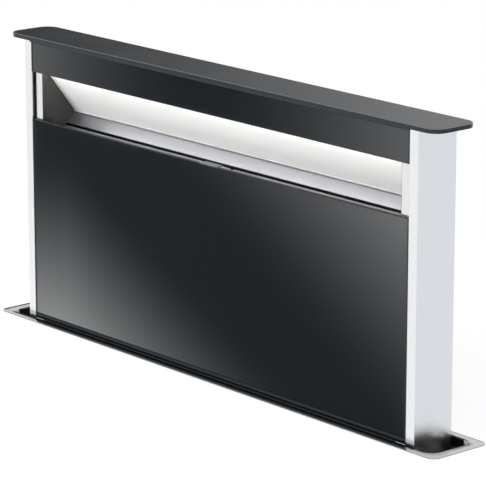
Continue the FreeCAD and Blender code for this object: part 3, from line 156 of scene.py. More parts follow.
def rounded_outline(half_x: float, half_y: float, radius: float, steps: int = 8) -> np.ndarray:
    """The outline of a rounded rectangle: four quarter circles about the inset corners.

    Args:
        half_x: half the width.
        half_y: half the depth.
        radius: the corner radius.
        steps: points on each quarter, less one.

    Returns:
        Points as rows of x, y, anticlockwise.
    """
    quarter = np.linspace(0, np.pi / 2, steps + 1)
    angle = np.concatenate([quarter + k * np.pi / 2 for k in range(4)])
    sign_x = np.repeat([1, -1, -1, 1], steps + 1)
    sign_y = np.repeat([1, 1, -1, -1], steps + 1)
    return np.stack([sign_x * (half_x - radius) + radius * np.cos(angle),
                     sign_y * (half_y - radius) + radius * np.sin(angle)], axis=-1)


def ring(loops: list[tuple[float, float, float, float]], steps: int = 10) -> Patch:
    """A closed ring: each loop is a rounded rectangle at a height, and the last joins the first.

    Args:
        loops: half width, half depth, corner radius and height of each loop, in millimetres.
        steps: points on each quarter, less one.

    Returns:
        A closed patch.
    """
    rows = []
    for half_x, half_y, radius, height in loops:
        flat = rounded_outline(half_x, half_y, radius, steps)
        rows.append(np.concatenate([flat, np.full((len(flat), 1), height)], axis=1))
    return grid_patch(np.stack(rows) * MM, wrap_rows=True)


def bar(outline: list[tuple[float, float]], low: float, high: float) -> Patch:
    """A straight bar: a (y, z) outline carried along X from one end to the other.

    Args:
        outline: the outline's corners, in millimetres.
        low: the first end's x, in millimetres.
        high: the last end's x, in millimetres.

    Returns:
        A closed patch.
    """
    flat = np.array(outline)
    rows = [np.column_stack([np.full(len(flat), end), flat]) for end in (low, high)]
    return grid_patch(np.stack(rows) * MM)


def upright(outline: list[tuple[float, float]], low: float, high: float) -> Patch:
    """A straight post: an (x, y) outline carried along Z from one height to another.

    Args:
        outline: the outline's corners, in millimetres.
        low: the first height, in millimetres.
        high: the last height, in millimetres.

    Returns:
        A closed patch.
    """
    flat = np.array(outline)
    rows = [np.column_stack([flat, np.full(len(flat), end)]) for end in (low, high)]
    return grid_patch(np.stack(rows) * MM)


def tube(path: np.ndarray, radius: float, up: tuple[float, float, float], sides: int = 8) -> Patch:
    """A round tube: at each path point a circle across the way ahead, square to a fixed direction.

    Args:
        path: the points that it follows, in millimetres.
        radius: its radius, in millimetres.
        up: a direction that the path never takes.
        sides: points on each circle.

    Returns:
        A closed patch.
    """
    ahead = np.gradient(path, axis=0)
    ahead = ahead / np.linalg.norm(ahead, axis=1)[:, None]
    side = np.cross(ahead, np.array(up))
    side = side / np.linalg.norm(side, axis=1)[:, None]
    above = np.cross(side, ahead)
    angle = np.arange(sides)[None, :, None] * 2 * np.pi / sides
    grid = path[:, None] + radius * (np.cos(angle) * side[:, None] + np.sin(angle) * above[:, None])
    return grid_patch(grid * MM)


def thread(radius: float, depth: float, pitch: float, low: float, high: float,
           centre: tuple[float, float], sides: int = 20) -> Patch:
    """A screw thread about Z: the radius at turn t and height z falls by the depth times a zigzag of
    z / pitch - t, so the crest climbs one pitch each turn.

    Args:
        radius: the crest's radius.
        depth: from crest to root.
        pitch: the climb of a turn.
        low: the lowest height.
        high: the highest height.
        centre: the axis's x and y.
        sides: points on each turn.

    Returns:
        A closed patch, with all sizes taken in millimetres.
    """
    rows = int((high - low) / pitch * 4) + 1
    height = np.linspace(low, high, rows)[:, None]
    turn = np.arange(sides)[None] / sides
    zigzag = np.abs(2 * np.mod(height / pitch - turn, 1.0) - 1)
    size = radius - depth * zigzag
    grid = np.stack([centre[0] + size * np.cos(2 * np.pi * turn), centre[1] + size * np.sin(2 * np.pi * turn),
                     height + 0 * turn], axis=-1)
    return grid_patch(grid * MM)


def hexagon_head(across: float, low: float, high: float, centre: tuple[float, float]) -> Patch:
    """A bolt head about Z: six flats cut from a disc whose two rims are chamfered.

    The radius is the lesser of flat / cos(angle from the flat's middle) and the chamfer's cone.

    Args:
        across: the size across the flats.
        low: the lowest height.
        high: the highest height.
        centre: the axis's x and y.

    Returns:
        A closed patch, with all sizes taken in millimetres.
    """
    angle = np.arange(48) * 2 * np.pi / 48
    flat = across / 2 / np.cos(np.mod(angle + np.pi / 6, np.pi / 3) - np.pi / 6)
    edge = across / 2
    rows = []
    for height, limit in ((low, edge * 0.94), (low + 0.8, edge * 1.16), (high - 0.8, edge * 1.16),
                          (high, edge * 0.94)):
        size = np.minimum(flat, limit)
        rows.append(np.stack([centre[0] + size * np.cos(angle), centre[1] + size * np.sin(angle),
                              np.full(48, height)], axis=-1))
    return grid_patch(np.stack(rows) * MM)


def screw_head(radius: float, height: float, centre: tuple[float, float, float], axis: Axis,
               out: int) -> Patch:
    """A pan head with a round recess: a turned profile over the rim, the crown and the recess.

    Args:
        radius: its radius, in millimetres.
        height: how far it stands proud, in millimetres.
        centre: the middle of its seat, in millimetres.
        axis: the axis that it stands on.
        out: 1 or -1, the way that it faces.

    Returns:
        A closed patch.
    """
    shares = [(1.0, 0.0), (1.0, 0.35), (0.9, 0.7), (0.66, 0.94), (0.40, 1.0), (0.34, 0.97), (0.28, 0.45),
              (0.02, 0.38)]
    profile = [(radius * MM * wide, out * height * MM * tall) for wide, tall in shares]
    return turned(profile, tuple(part * MM for part in centre), axis, 20)


def piece(name: str, patch: Patch, material: bpy.types.Material, body: str,
          smooth: bool = True) -> bpy.types.Object:
    """Make an object of a patch, point its faces outwards, dress it and let it ride on a body.

    Args:
        name: the object's name.
        patch: its surface.
        material: its finish.
        body: the CAD body that it moves with.
        smooth: shades it smooth up to 35 degrees.

    Returns:
        The object.
    """
    mesh = bpy.data.meshes.new(name)
    mesh.from_pydata(patch.points.tolist(), [], patch.faces)
    shell = bmesh.new()
    shell.from_mesh(mesh)
    bmesh.ops.recalc_face_normals(shell, faces=shell.faces)
    shell.to_mesh(mesh)
    shell.free()
    mesh.polygons.foreach_set("use_smooth", [smooth] * len(mesh.polygons))
    if smooth:
        mesh.set_sharp_from_angle(angle=math.radians(35))
    mesh.materials.append(material)
    made = bpy.data.objects.new(name, mesh)
    bpy.context.scene.collection.objects.link(made)
    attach(made, body)
    LOG.info("piece %s: %d faces on %s", name, len(mesh.polygons), body)
    return made


# ---- shared effects -------------------------------------------------------------------------------
def new_group(name: str, inputs: dict[str, float | tuple[float, ...]], outputs: dict[str, str]
              ) -> bpy.types.NodeTree:
    """Start a shader node group with named sockets.

    Args:
        name: the group's name.
        inputs: socket names with defaults, a number or a triple.
        outputs: socket names with socket types.

    Returns:
        The tree, with its group input and output nodes in place.
    """
    tree = bpy.data.node_groups.new(name, "ShaderNodeTree")
    for key, value in inputs.items():
        kind = "NodeSocketFloat" if isinstance(value, (int, float)) else "NodeSocketVector"
        socket = tree.interface.new_socket(key, in_out="INPUT", socket_type=kind)
        socket.default_value = value
    for key, kind in outputs.items():
        tree.interface.new_socket(key, in_out="OUTPUT", socket_type=kind)
    tree.nodes.new("NodeGroupInput").name = "in"
    tree.nodes.new("NodeGroupOutput").name = "out"
    return tree


class Wiring:
    """Short ways to add and link nodes in one tree."""

    def __init__(self, tree: bpy.types.NodeTree) -> None:
        """Keep the tree that the nodes go into."""
        self.tree = tree

    def add(self, kind: str, **settings: object) -> bpy.types.Node:
        """Add a node and set its own settings.

        Args:
            kind: the node type, without "ShaderNode".
            settings: attributes to set on it.

        Returns:
            The node.
        """
        node = self.tree.nodes.new("ShaderNode" + kind)
        for key, value in settings.items():
            setattr(node, key, value)
        return node

    def link(self, source: bpy.types.NodeSocket, target: bpy.types.NodeSocket) -> None:
        """Link two sockets."""
        self.tree.links.new(source, target)

    def math(self, operation: str, first: bpy.types.NodeSocket | float,
             second: bpy.types.NodeSocket | float = 0.0) -> bpy.types.NodeSocket:
        """Add a Math node.

        Args:
            operation: the node's operation.
            first: a socket or a number.
            second: a socket or a number.

        Returns:
            The result's socket.
        """
        node = self.add("Math", operation=operation)
        for socket, value in zip(node.inputs, (first, second)):
            if isinstance(value, (int, float)):
                socket.default_value = value
            else:
                self.link(value, socket)
        return node.outputs[0]

    def ramp(self, value: bpy.types.NodeSocket, start: float, end: float, low: float, high: float,
             course: str = "SMOOTHSTEP") -> bpy.types.NodeSocket:
        """A value that goes from one level to another as a source passes between two marks.

        Args:
            value: the source.
            start: the mark for the first level.
            end: the mark for the last level.
            low: the first level.
            high: the last level.
            course: the Map Range node's interpolation.

        Returns:
            The result's socket.
        """
        node = self.add("MapRange", interpolation_type=course)
        for key, number in (("From Min", start), ("From Max", end), ("To Min", low), ("To Max", high)):
            node.inputs[key].default_value = number
        self.link(value, node.inputs["Value"])
        return node.outputs[0]

    def stretched(self, scale: tuple[float, float, float]) -> bpy.types.NodeSocket:
        """Object coordinates multiplied by a fixed scale.

        Args:
            scale: cycles per metre along each axis.

        Returns:
            The coordinates' socket.
        """
        place = self.add("TexCoord")
        mapping = self.add("Mapping")
        mapping.inputs["Scale"].default_value = scale
        self.link(place.outputs["Object"], mapping.inputs["Vector"])
        return mapping.outputs["Vector"]


def brushed_group() -> bpy.types.NodeTree:
    """Brushed metal: two stretched noises, one fine and one broad, give streaks and slow clouds.

    Returns:
        A group with Streaks, Clouds and Normal.
    """
    tree = new_group("brushed", {"Vector": (0.0, 0.0, 0.0), "Depth": 0.1},
                     {"Streaks": "NodeSocketFloat", "Clouds": "NodeSocketFloat",
                      "Normal": "NodeSocketVector"})
    wiring = Wiring(tree)
    source = tree.nodes["in"]
    fine = wiring.add("TexNoise")
    fine.inputs["Scale"].default_value = 1.0
    fine.inputs["Detail"].default_value = 4.0
    wiring.link(source.outputs["Vector"], fine.inputs["Vector"])
    broad = wiring.add("TexNoise")
    broad.inputs["Scale"].default_value = 0.04
    broad.inputs["Detail"].default_value = 2.0
    wiring.link(source.outputs["Vector"], broad.inputs["Vector"])
    bump = wiring.add("Bump")
    bump.inputs["Distance"].default_value = 0.00002
    wiring.link(source.outputs["Depth"], bump.inputs["Strength"])
    wiring.link(fine.outputs[0], bump.inputs["Height"])
    target = tree.nodes["out"]
    wiring.link(fine.outputs[0], target.inputs["Streaks"])
    wiring.link(broad.outputs[0], target.inputs["Clouds"])
    wiring.link(bump.outputs[0], target.inputs["Normal"])
    return tree


def handled_group() -> bpy.types.NodeTree:
    """Use and dust: soft smears from warped noise, and sparse specks from a cell pattern.

    Returns:
        A group with Smears and Specks, both from 0 to 1.
    """
    tree = new_group("handled", {"Vector": (0.0, 0.0, 0.0), "Smear Scale": 9.0, "Speck Scale": 900.0},
                     {"Smears": "NodeSocketFloat", "Specks": "NodeSocketFloat"})
    wiring = Wiring(tree)
    source = tree.nodes["in"]
    smear = wiring.add("TexNoise")
    smear.inputs["Detail"].default_value = 5.0
    smear.inputs["Distortion"].default_value = 1.2
    wiring.link(source.outputs["Vector"], smear.inputs["Vector"])
    wiring.link(source.outputs["Smear Scale"], smear.inputs["Scale"])
    soft = wiring.add("MapRange")
    soft.inputs["From Min"].default_value = 0.45
    soft.inputs["From Max"].default_value = 0.75
    wiring.link(smear.outputs[0], soft.inputs["Value"])
    cell = wiring.add("TexVoronoi")
    wiring.link(source.outputs["Vector"], cell.inputs["Vector"])
    wiring.link(source.outputs["Speck Scale"], cell.inputs["Scale"])
    speck = wiring.add("MapRange")
    speck.inputs["From Min"].default_value = 0.10
    speck.inputs["From Max"].default_value = 0.04
    wiring.link(cell.outputs["Distance"], speck.inputs["Value"])
    target = tree.nodes["out"]
    wiring.link(soft.outputs[0], target.inputs["Smears"])
    wiring.link(speck.outputs[0], target.inputs["Specks"])
    return tree


GROUPS = {"brushed": brushed_group(), "handled": handled_group()}


# ---- finishes -------------------------------------------------------------------------------------
@dataclass(frozen=True)
class Finish:
    """What every finish has: a name, a colour and a mean roughness."""

    name: str
    colour: tuple[float, float, float]
    roughness: float

    def begin(self) -> tuple[bpy.types.Material, Wiring, bpy.types.Node]:
        """Start the material.

        Returns:
            The material, its wiring and its Principled shader.
        """
        material = bpy.data.materials.new(self.name)
        material.use_nodes = True
        wiring = Wiring(material.node_tree)
        shader = material.node_tree.nodes["Principled BSDF"]
        shader.inputs["Roughness"].default_value = self.roughness
        shader.inputs["Base Color"].default_value = (*self.colour, 1.0)
        material.diffuse_color = (*self.colour, 1.0)
        return material, wiring, shader

    def group(self, wiring: Wiring, name: str, vector: bpy.types.NodeSocket) -> bpy.types.Node:
        """Place a shared effect.

        Args:
            wiring: the material's wiring.
            name: the effect's name.
            vector: the coordinates that it reads.

        Returns:
            The group node.
        """
        node = wiring.add("Group")
        node.node_tree = GROUPS[name]
        wiring.link(vector, node.inputs["Vector"])
        return node

    def tinted(self, wiring: Wiring, mask: bpy.types.NodeSocket, low: float, high: float
               ) -> bpy.types.NodeSocket:
        """The finish's colour times a brightness between two limits, by a mask.

        Args:
            wiring: the material's wiring.
            mask: 0 to 1.
            low: the brightness at 0.
            high: the brightness at 1.

        Returns:
            A colour socket.
        """
        mix = wiring.add("Mix", data_type="RGBA")
        mix.inputs[6].default_value = (*[min(1.0, part * low) for part in self.colour], 1.0)
        mix.inputs[7].default_value = (*[min(1.0, part * high) for part in self.colour], 1.0)
        wiring.link(mask, mix.inputs[0])
        return mix.outputs[2]

    def spread(self, wiring: Wiring, mask: bpy.types.NodeSocket, low: float, high: float
               ) -> bpy.types.NodeSocket:
        """A number between two limits, by a mask.

        Args:
            wiring: the material's wiring.
            mask: 0 to 1.
            low: the number at 0.
            high: the number at 1.

        Returns:
            A value socket.
        """
        node = wiring.add("MapRange")
        node.inputs["To Min"].default_value = low
        node.inputs["To Max"].default_value = high
        wiring.link(mask, node.inputs["Value"])
        return node.outputs[0]


@dataclass(frozen=True)
class BrushedMetal(Finish):
    """Metal with a straight grain: streaks vary colour, roughness and a shallow bump."""

    grain: Axis = Axis.X
    depth: float = 0.2
    contrast: float = 0.05

    def build(self) -> bpy.types.Material:
        """Make the material, with the grain stretched along its axis.

        Returns:
            The material.
        """
        material, wiring, shader = self.begin()
        shader.inputs["Metallic"].default_value = 1.0
        scale = [2600.0, 2600.0, 2600.0]
        scale[self.grain.value] = 14.0
        brushed = self.group(wiring, "brushed", wiring.stretched(tuple(scale)))
        brushed.inputs["Depth"].default_value = self.depth
        handled = self.group(wiring, "handled", wiring.stretched((1.0, 1.0, 1.0)))
        wiring.link(self.tinted(wiring, brushed.outputs["Streaks"], 1 - self.contrast, 1 + self.contrast),
                    shader.inputs["Base Color"])
        rough = self.spread(wiring, brushed.outputs["Clouds"], self.roughness * 0.85, self.roughness * 1.15)
        smear = wiring.math("MULTIPLY", handled.outputs["Smears"], 0.03)
        wiring.link(wiring.math("ADD", rough, smear), shader.inputs["Roughness"])
        wiring.link(brushed.outputs["Normal"], shader.inputs["Normal"])
        return material


@dataclass(frozen=True)
class ShadeBandMetal(BrushedMetal):
    """Brushed metal with a dark band of painted shade on the side of a mark, measured along one axis from the
    middle.
    """

    across: Axis = Axis.Z
    mark: float = 0.0
    dark: tuple[float, float, float] = (0.02, 0.02, 0.02)

    def build(self) -> bpy.types.Material:
        """Make the metal, then mix the dark colour in where the distance is under the mark.

        Returns:
            The material.
        """
        material = super().build()
        wiring = Wiring(material.node_tree)
        socket = material.node_tree.nodes["Principled BSDF"].inputs["Base Color"]
        bright = socket.links[0].from_socket
        parts = wiring.add("SeparateXYZ")
        wiring.link(wiring.add("TexCoord").outputs["Object"], parts.inputs[0])
        distance = wiring.math("ABSOLUTE", parts.outputs[self.across.value])
        mix = wiring.add("Mix", data_type="RGBA")
        mix.inputs[6].default_value = (*self.dark, 1.0)
        wiring.link(bright, mix.inputs[7])
        wiring.link(wiring.ramp(distance, self.mark - 0.0002, self.mark + 0.0002, 0.0, 1.0), mix.inputs[0])
        wiring.link(mix.outputs[2], socket)
        return material


@dataclass(frozen=True)
class BlackGlass(Finish):
    """Back-painted glass: a dark body under a polished coat, with faint smears."""

    def build(self) -> bpy.types.Material:
        """Make the material.

        Returns:
            The material.
        """
        material, wiring, shader = self.begin()
        shader.inputs["IOR"].default_value = 1.5
        handled = self.group(wiring, "handled", wiring.stretched((1.0, 1.0, 1.0)))
        wiring.link(self.spread(wiring, handled.outputs["Smears"], self.roughness, self.roughness + 0.02),
                    shader.inputs["Roughness"])
        wiring.link(self.tinted(wiring, handled.outputs["Specks"], 1.0, 1.6), shader.inputs["Base Color"])
        return material


@dataclass(frozen=True)
class PaintedSheet(Finish):
    """Powder coat or anodising: a fine orange-peel bump and slow changes of sheen."""

    metallic: float = 0.0
    peel: float = 0.15
    peel_scale: float = 900.0
    gloss: float = 0.5

    def build(self) -> bpy.types.Material:
        """Make the material.

        Returns:
            The material.
        """
        material, wiring, shader = self.begin()
        shader.inputs["Metallic"].default_value = self.metallic
        shader.inputs["Specular IOR Level"].default_value = self.gloss
        place = wiring.stretched((1.0, 1.0, 1.0))
        handled = self.group(wiring, "handled", place)
        noise = wiring.add("TexNoise")
        noise.inputs["Scale"].default_value = self.peel_scale
        noise.inputs["Detail"].default_value = 3.0
        wiring.link(place, noise.inputs["Vector"])
        bump = wiring.add("Bump")
        bump.inputs["Strength"].default_value = self.peel
        bump.inputs["Distance"].default_value = 0.00005
        wiring.link(noise.outputs[0], bump.inputs["Height"])
        wiring.link(bump.outputs[0], shader.inputs["Normal"])
        wiring.link(self.spread(wiring, handled.outputs["Smears"], self.roughness, self.roughness * 1.15),
                    shader.inputs["Roughness"])
        wiring.link(self.tinted(wiring, noise.outputs[0], 0.96, 1.04), shader.inputs["Base Color"])
        return material


@dataclass(frozen=True)
class ZincSheet(Finish):
    """Zinc-coated steel: cells of crystal differ a little in brightness and roughness."""

    cell_scale: float = 90.0

    def build(self) -> bpy.types.Material:
        """Make the material.

        Returns:
            The material.
        """
        material, wiring, shader = self.begin()
        shader.inputs["Metallic"].default_value = 0.9
        place = wiring.stretched((1.0, 1.0, 1.0))
        cell = wiring.add("TexVoronoi")
        cell.inputs["Scale"].default_value = self.cell_scale
        wiring.link(place, cell.inputs["Vector"])
        shade = wiring.add("SeparateColor")
        wiring.link(cell.outputs["Color"], shade.inputs[0])
        wiring.link(self.tinted(wiring, shade.outputs[0], 0.9, 1.08), shader.inputs["Base Color"])
        wiring.link(self.spread(wiring, shade.outputs[1], self.roughness * 0.85, self.roughness * 1.2),
                    shader.inputs["Roughness"])
        return material


@dataclass(frozen=True)
class Moulded(Finish):
    """Moulded plastic or rubber: a fine spark-eroded grain."""

    grain_scale: float = 2200.0

    def build(self) -> bpy.types.Material:
        """Make the material.

        Returns:
            The material.
        """
        material, wiring, shader = self.begin()
        place = wiring.stretched((1.0, 1.0, 1.0))
        handled = self.group(wiring, "handled", place)
        grain = wiring.add("TexVoronoi")
        grain.inputs["Scale"].default_value = self.grain_scale
        wiring.link(place, grain.inputs["Vector"])
        bump = wiring.add("Bump")
        bump.inputs["Strength"].default_value = 0.25
        bump.inputs["Distance"].default_value = 0.00006
        wiring.link(grain.outputs["Distance"], bump.inputs["Height"])
        wiring.link(bump.outputs[0], shader.inputs["Normal"])
        wiring.link(self.tinted(wiring, handled.outputs["Smears"], 0.94, 1.12), shader.inputs["Base Color"])
        wiring.link(self.spread(wiring, handled.outputs["Smears"], self.roughness, self.roughness * 0.9),
                    shader.inputs["Roughness"])
        return material


@dataclass(frozen=True)
class LitOpal(Moulded):
    """Opal plastic in front of a lamp that is on."""

    strength: float = 5.0

    def build(self) -> bpy.types.Material:
        """Make the moulded material and let it shine evenly.

        Returns:
            The material.
        """
        material = super().build()
        shader = material.node_tree.nodes["Principled BSDF"]
        shader.inputs["Emission Color"].default_value = (1.0, 0.985, 0.96, 1.0)
        shader.inputs["Emission Strength"].default_value = self.strength
        return material


FINISHES: dict[str, Finish] = {
    # seal_black also paints shade: the near-black linings in the wells and the strip under the cap's
    # overhang.
    "seal_black": Moulded("seal_black", (0.004, 0.004, 0.0042), 0.38, 1800.0),
    "slot_grey": Moulded("slot_grey", (0.42, 0.42, 0.43), 0.5, 1800.0),
    "cap_edge": BrushedMetal("cap_edge", (0.20, 0.205, 0.215), 0.22, Axis.X, 0.05, 0.03),
    "brushed_flange": BrushedMetal("flange_steel", (0.52, 0.525, 0.54), 0.13, Axis.X, 0.10, 0.04),
    "cap_charcoal": PaintedSheet("cap_anodised", (0.008, 0.0115, 0.016), 0.14, 0.0, 0.04, gloss=0.40),
    "black_glass": BlackGlass("black_glass", (0.0035, 0.0060, 0.0080), 0.015),
    "pale_aluminium": BrushedMetal("column_aluminium", (0.93, 0.94, 0.955), 0.24, Axis.Z, 0.12, 0.015),
    # Inner faces of the end profiles, under 372.5 mm from the middle, are a dark brownish grey. This is
    # painted shade inside the slot. The same band darkens the ribs on those faces and the glass's foot bead
    # between the profiles.
    "strip_aluminium": ShadeBandMetal("strip_aluminium", (0.88, 0.89, 0.90), 0.26, Axis.Z, 0.10, 0.02,
                               Axis.X, 372.5 * MM, (0.11, 0.105, 0.10)),
    "lining_grey": PaintedSheet("lining_paint", (0.045, 0.044, 0.043), 0.45),
    "reflector_white": PaintedSheet("reflector_enamel", (0.92, 0.92, 0.91), 0.22, 0.0, 0.08),
    # The deflector's hem, under 289.3 mm, is near black: painted shadow of the gap over the glass's top edge.
    "deflector_brushed": ShadeBandMetal("deflector_steel", (0.37, 0.375, 0.40), 0.46, Axis.X, 0.15, 0.04,
                                 Axis.Z, 289.3 * MM, (0.012, 0.012, 0.013)),
    "sheet_zinc": ZincSheet("housing_zinc", (0.60, 0.62, 0.63), 0.38),
    "panel_black": PaintedSheet("panel_paint", (0.018, 0.018, 0.019), 0.42),
    "diffuser_opal": LitOpal("diffuser_opal", (0.90, 0.90, 0.88), 0.35, 4000.0, 9.5),
    "tab_steel": BrushedMetal("tab_steel", (0.20, 0.21, 0.225), 0.28, Axis.X, 0.15, 0.04),
    "filter_aluminium": BrushedMetal("filter_aluminium", (0.70, 0.71, 0.72), 0.36, Axis.X, 0.10, 0.04),
    # This white also makes the corner buffers, which paint the highlights of the opening's rounded corners.
    "shoe_white": Moulded("shoe_acetal", (0.80, 0.80, 0.78), 0.42),
    "rail_black": PaintedSheet("rail_anodised", (0.035, 0.035, 0.038), 0.38, 0.5, 0.08),
    "belt_rubber": Moulded("belt_rubber", (0.016, 0.016, 0.016), 0.62, 1500.0),
    "wheel_metal": BrushedMetal("wheel_aluminium", (0.66, 0.67, 0.68), 0.30, Axis.X, 0.10, 0.04),
    "shaft_steel": BrushedMetal("shaft_steel", (0.56, 0.56, 0.56), 0.22, Axis.X, 0.08, 0.03),
    "gearcase_grey": PaintedSheet("gearcase_cast", (0.24, 0.245, 0.25), 0.48, 0.6, 0.35, 500.0),
    "motor_black": PaintedSheet("motor_coat", (0.025, 0.025, 0.026), 0.44, 0.0, 0.25),
    "screw_zinc": BrushedMetal("screw_zinc", (0.66, 0.67, 0.65), 0.28, Axis.X, 0.06, 0.04),
    "fan_black": Moulded("fan_casing", (0.022, 0.022, 0.023), 0.46),
    "wheel_grey": Moulded("fan_wheel", (0.13, 0.133, 0.137), 0.44),
    "duct_black": Moulded("duct_plastic", (0.030, 0.030, 0.031), 0.44),
    "flap_grey": Moulded("flap_sheet", (0.20, 0.20, 0.21), 0.48),
    "control_grey": Moulded("control_case", (0.075, 0.075, 0.078), 0.48),
    "foot_black": Moulded("foot_rubber", (0.020, 0.020, 0.020), 0.60, 1500.0),
    "bracket_zinc": ZincSheet("bracket_zinc", (0.63, 0.64, 0.65), 0.34, 140.0),
}
MATERIALS = {slot: finish.build() for slot, finish in FINISHES.items()}


def dress_frame() -> None:
    """Give every CAD node the finish of its material slot."""
    for entry in frame["record"]["subparts"]:
        mesh = frame["nodes"][entry["node"]].data
        mesh.materials.clear()
        mesh.materials.append(MATERIALS[entry["material_slot"]])


# ---- sub-assemblies -------------------------------------------------------------------------------
@dataclass
class WorktopFlange:
    """The steel frame on the worktop, its white corner buffers, which paint the highlights of the opening's
    rounded corners, and the black linings that paint the shade of the wells inside it.
    """

    half_x: float = 458.0
    half_y: float = 50.0
    corner: float = 13.0
    opening_x: float = 442.5
    opening_y: float = 39.5
    opening_corner: float = 21.0
    top: float = 1.5
    lip_bottom: float = -7.0
    lip_thick: float = 1.2
    shade_lining_low: float = -13.4
    shade_strip_low: float = -60.0

    def plate(self) -> Patch:
        """The frame: up the lip's inside, over its rolled edge, across the top and down the outer edge.

        Returns:
            A closed ring.
        """
        loops = []
        for grow, height in ((0.0, self.lip_bottom), (0.0, 0.5), (0.12, 0.95), (0.42, 1.3), (0.95, self.top)):
            loops.append((self.opening_x + grow, self.opening_y + grow, self.opening_corner + grow, height))
        for inset, height in ((0.8, self.top), (0.3, 1.36), (0.06, 1.0), (0.0, 0.6), (0.0, 0.0)):
            loops.append((self.half_x - inset, self.half_y - inset, self.corner - inset, height))
        for height in (0.0, self.lip_bottom):
            loops.append((self.opening_x + self.lip_thick, self.opening_y + self.lip_thick,
                          self.opening_corner + self.lip_thick, height))
        return ring(loops, 14)

    def highlight_buffer(self, side_x: int, side_y: int) -> Patch:
        """A white nylon buffer in a corner, whose white paints the highlight of the lip's rounded polished
        corner: an arc of wall, carried over a rounded section.

        Args:
            side_x: which end.
            side_y: front or back.

        Returns:
            A closed patch.
        """
        angle = np.radians(np.linspace(30.0, 82.0, 14))[:, None]
        section = np.array([(0.1, -5.0), (0.1, -0.2), (0.3, 0.1), (0.8, 0.1), (1.1, -0.3), (1.1, -5.0)])
        reach = self.opening_corner - section[None, :, 0]
        x = side_x * (self.opening_x - self.opening_corner + reach * np.cos(angle))
        y = side_y * (self.opening_y - self.opening_corner + reach * np.sin(angle))
        grid = np.stack([x, y, section[None, :, 1] + 0 * angle], axis=-1)
        return grid_patch(grid * MM)

    def well_shade_lining(self) -> Patch:
        """Black linings of the open wells, which paint the shade deep in them: a slim ring inside the lip,
        and strips on the walls under it.

        The ring is a rounded rectangle carried from under the lip's edge to just above the rails. The strips
        are flat boxes, clear of the rails and of the tower, so both wells stay open.

        Returns:
            A patch of closed forms.
        """
        loops = [(self.opening_x - inset, self.opening_y - inset, self.opening_corner - inset, height)
                 for inset, height in ((0.1, self.shade_lining_low), (0.1, -1.2), (0.4, -1.0), (0.6, -1.2),
                                       (0.6, self.shade_lining_low))]
        made = [ring(loops, 14)]
        for side in (-1, 1):
            for y in (-1, 1):
                made.append(upright([(side * 408.5, y * 39.0), (side * 441.5, y * 39.0),
                                     (side * 441.5, y * 39.4), (side * 408.5, y * 39.4)],
                                    self.shade_strip_low, self.shade_lining_low))
            for low, high in ((-38.8, -19.2), (4.2, 38.8)):
                made.append(upright([(side * 442.9, low), (side * 443.5, low), (side * 443.5, high),
                                     (side * 442.9, high)], self.shade_strip_low, self.shade_lining_low))
        return joined(made)

    def build(self) -> None:
        """Make the frame in place of the CAD's, whose corners are rounder, the buffers that paint the corner
        highlights and the linings that paint the wells' shade.
        """
        # The near-black linings paint the shade of the wells.
        piece("well_shade_linings", self.well_shade_lining(), MATERIALS["seal_black"], "housing")
        frame_piece = piece("flange_rolled", self.plate(), MATERIALS["brushed_flange"], "housing")
        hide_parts("worktop_flange")
        # White buffers in the opening's corners: a painted highlight of the lip's polished corners.
        corners = [self.highlight_buffer(side_x, side_y) for side_x in (-1, 1) for side_y in (-1, 1)]
        piece("corner_highlight_buffers", joined(corners), MATERIALS["shoe_white"], "housing")


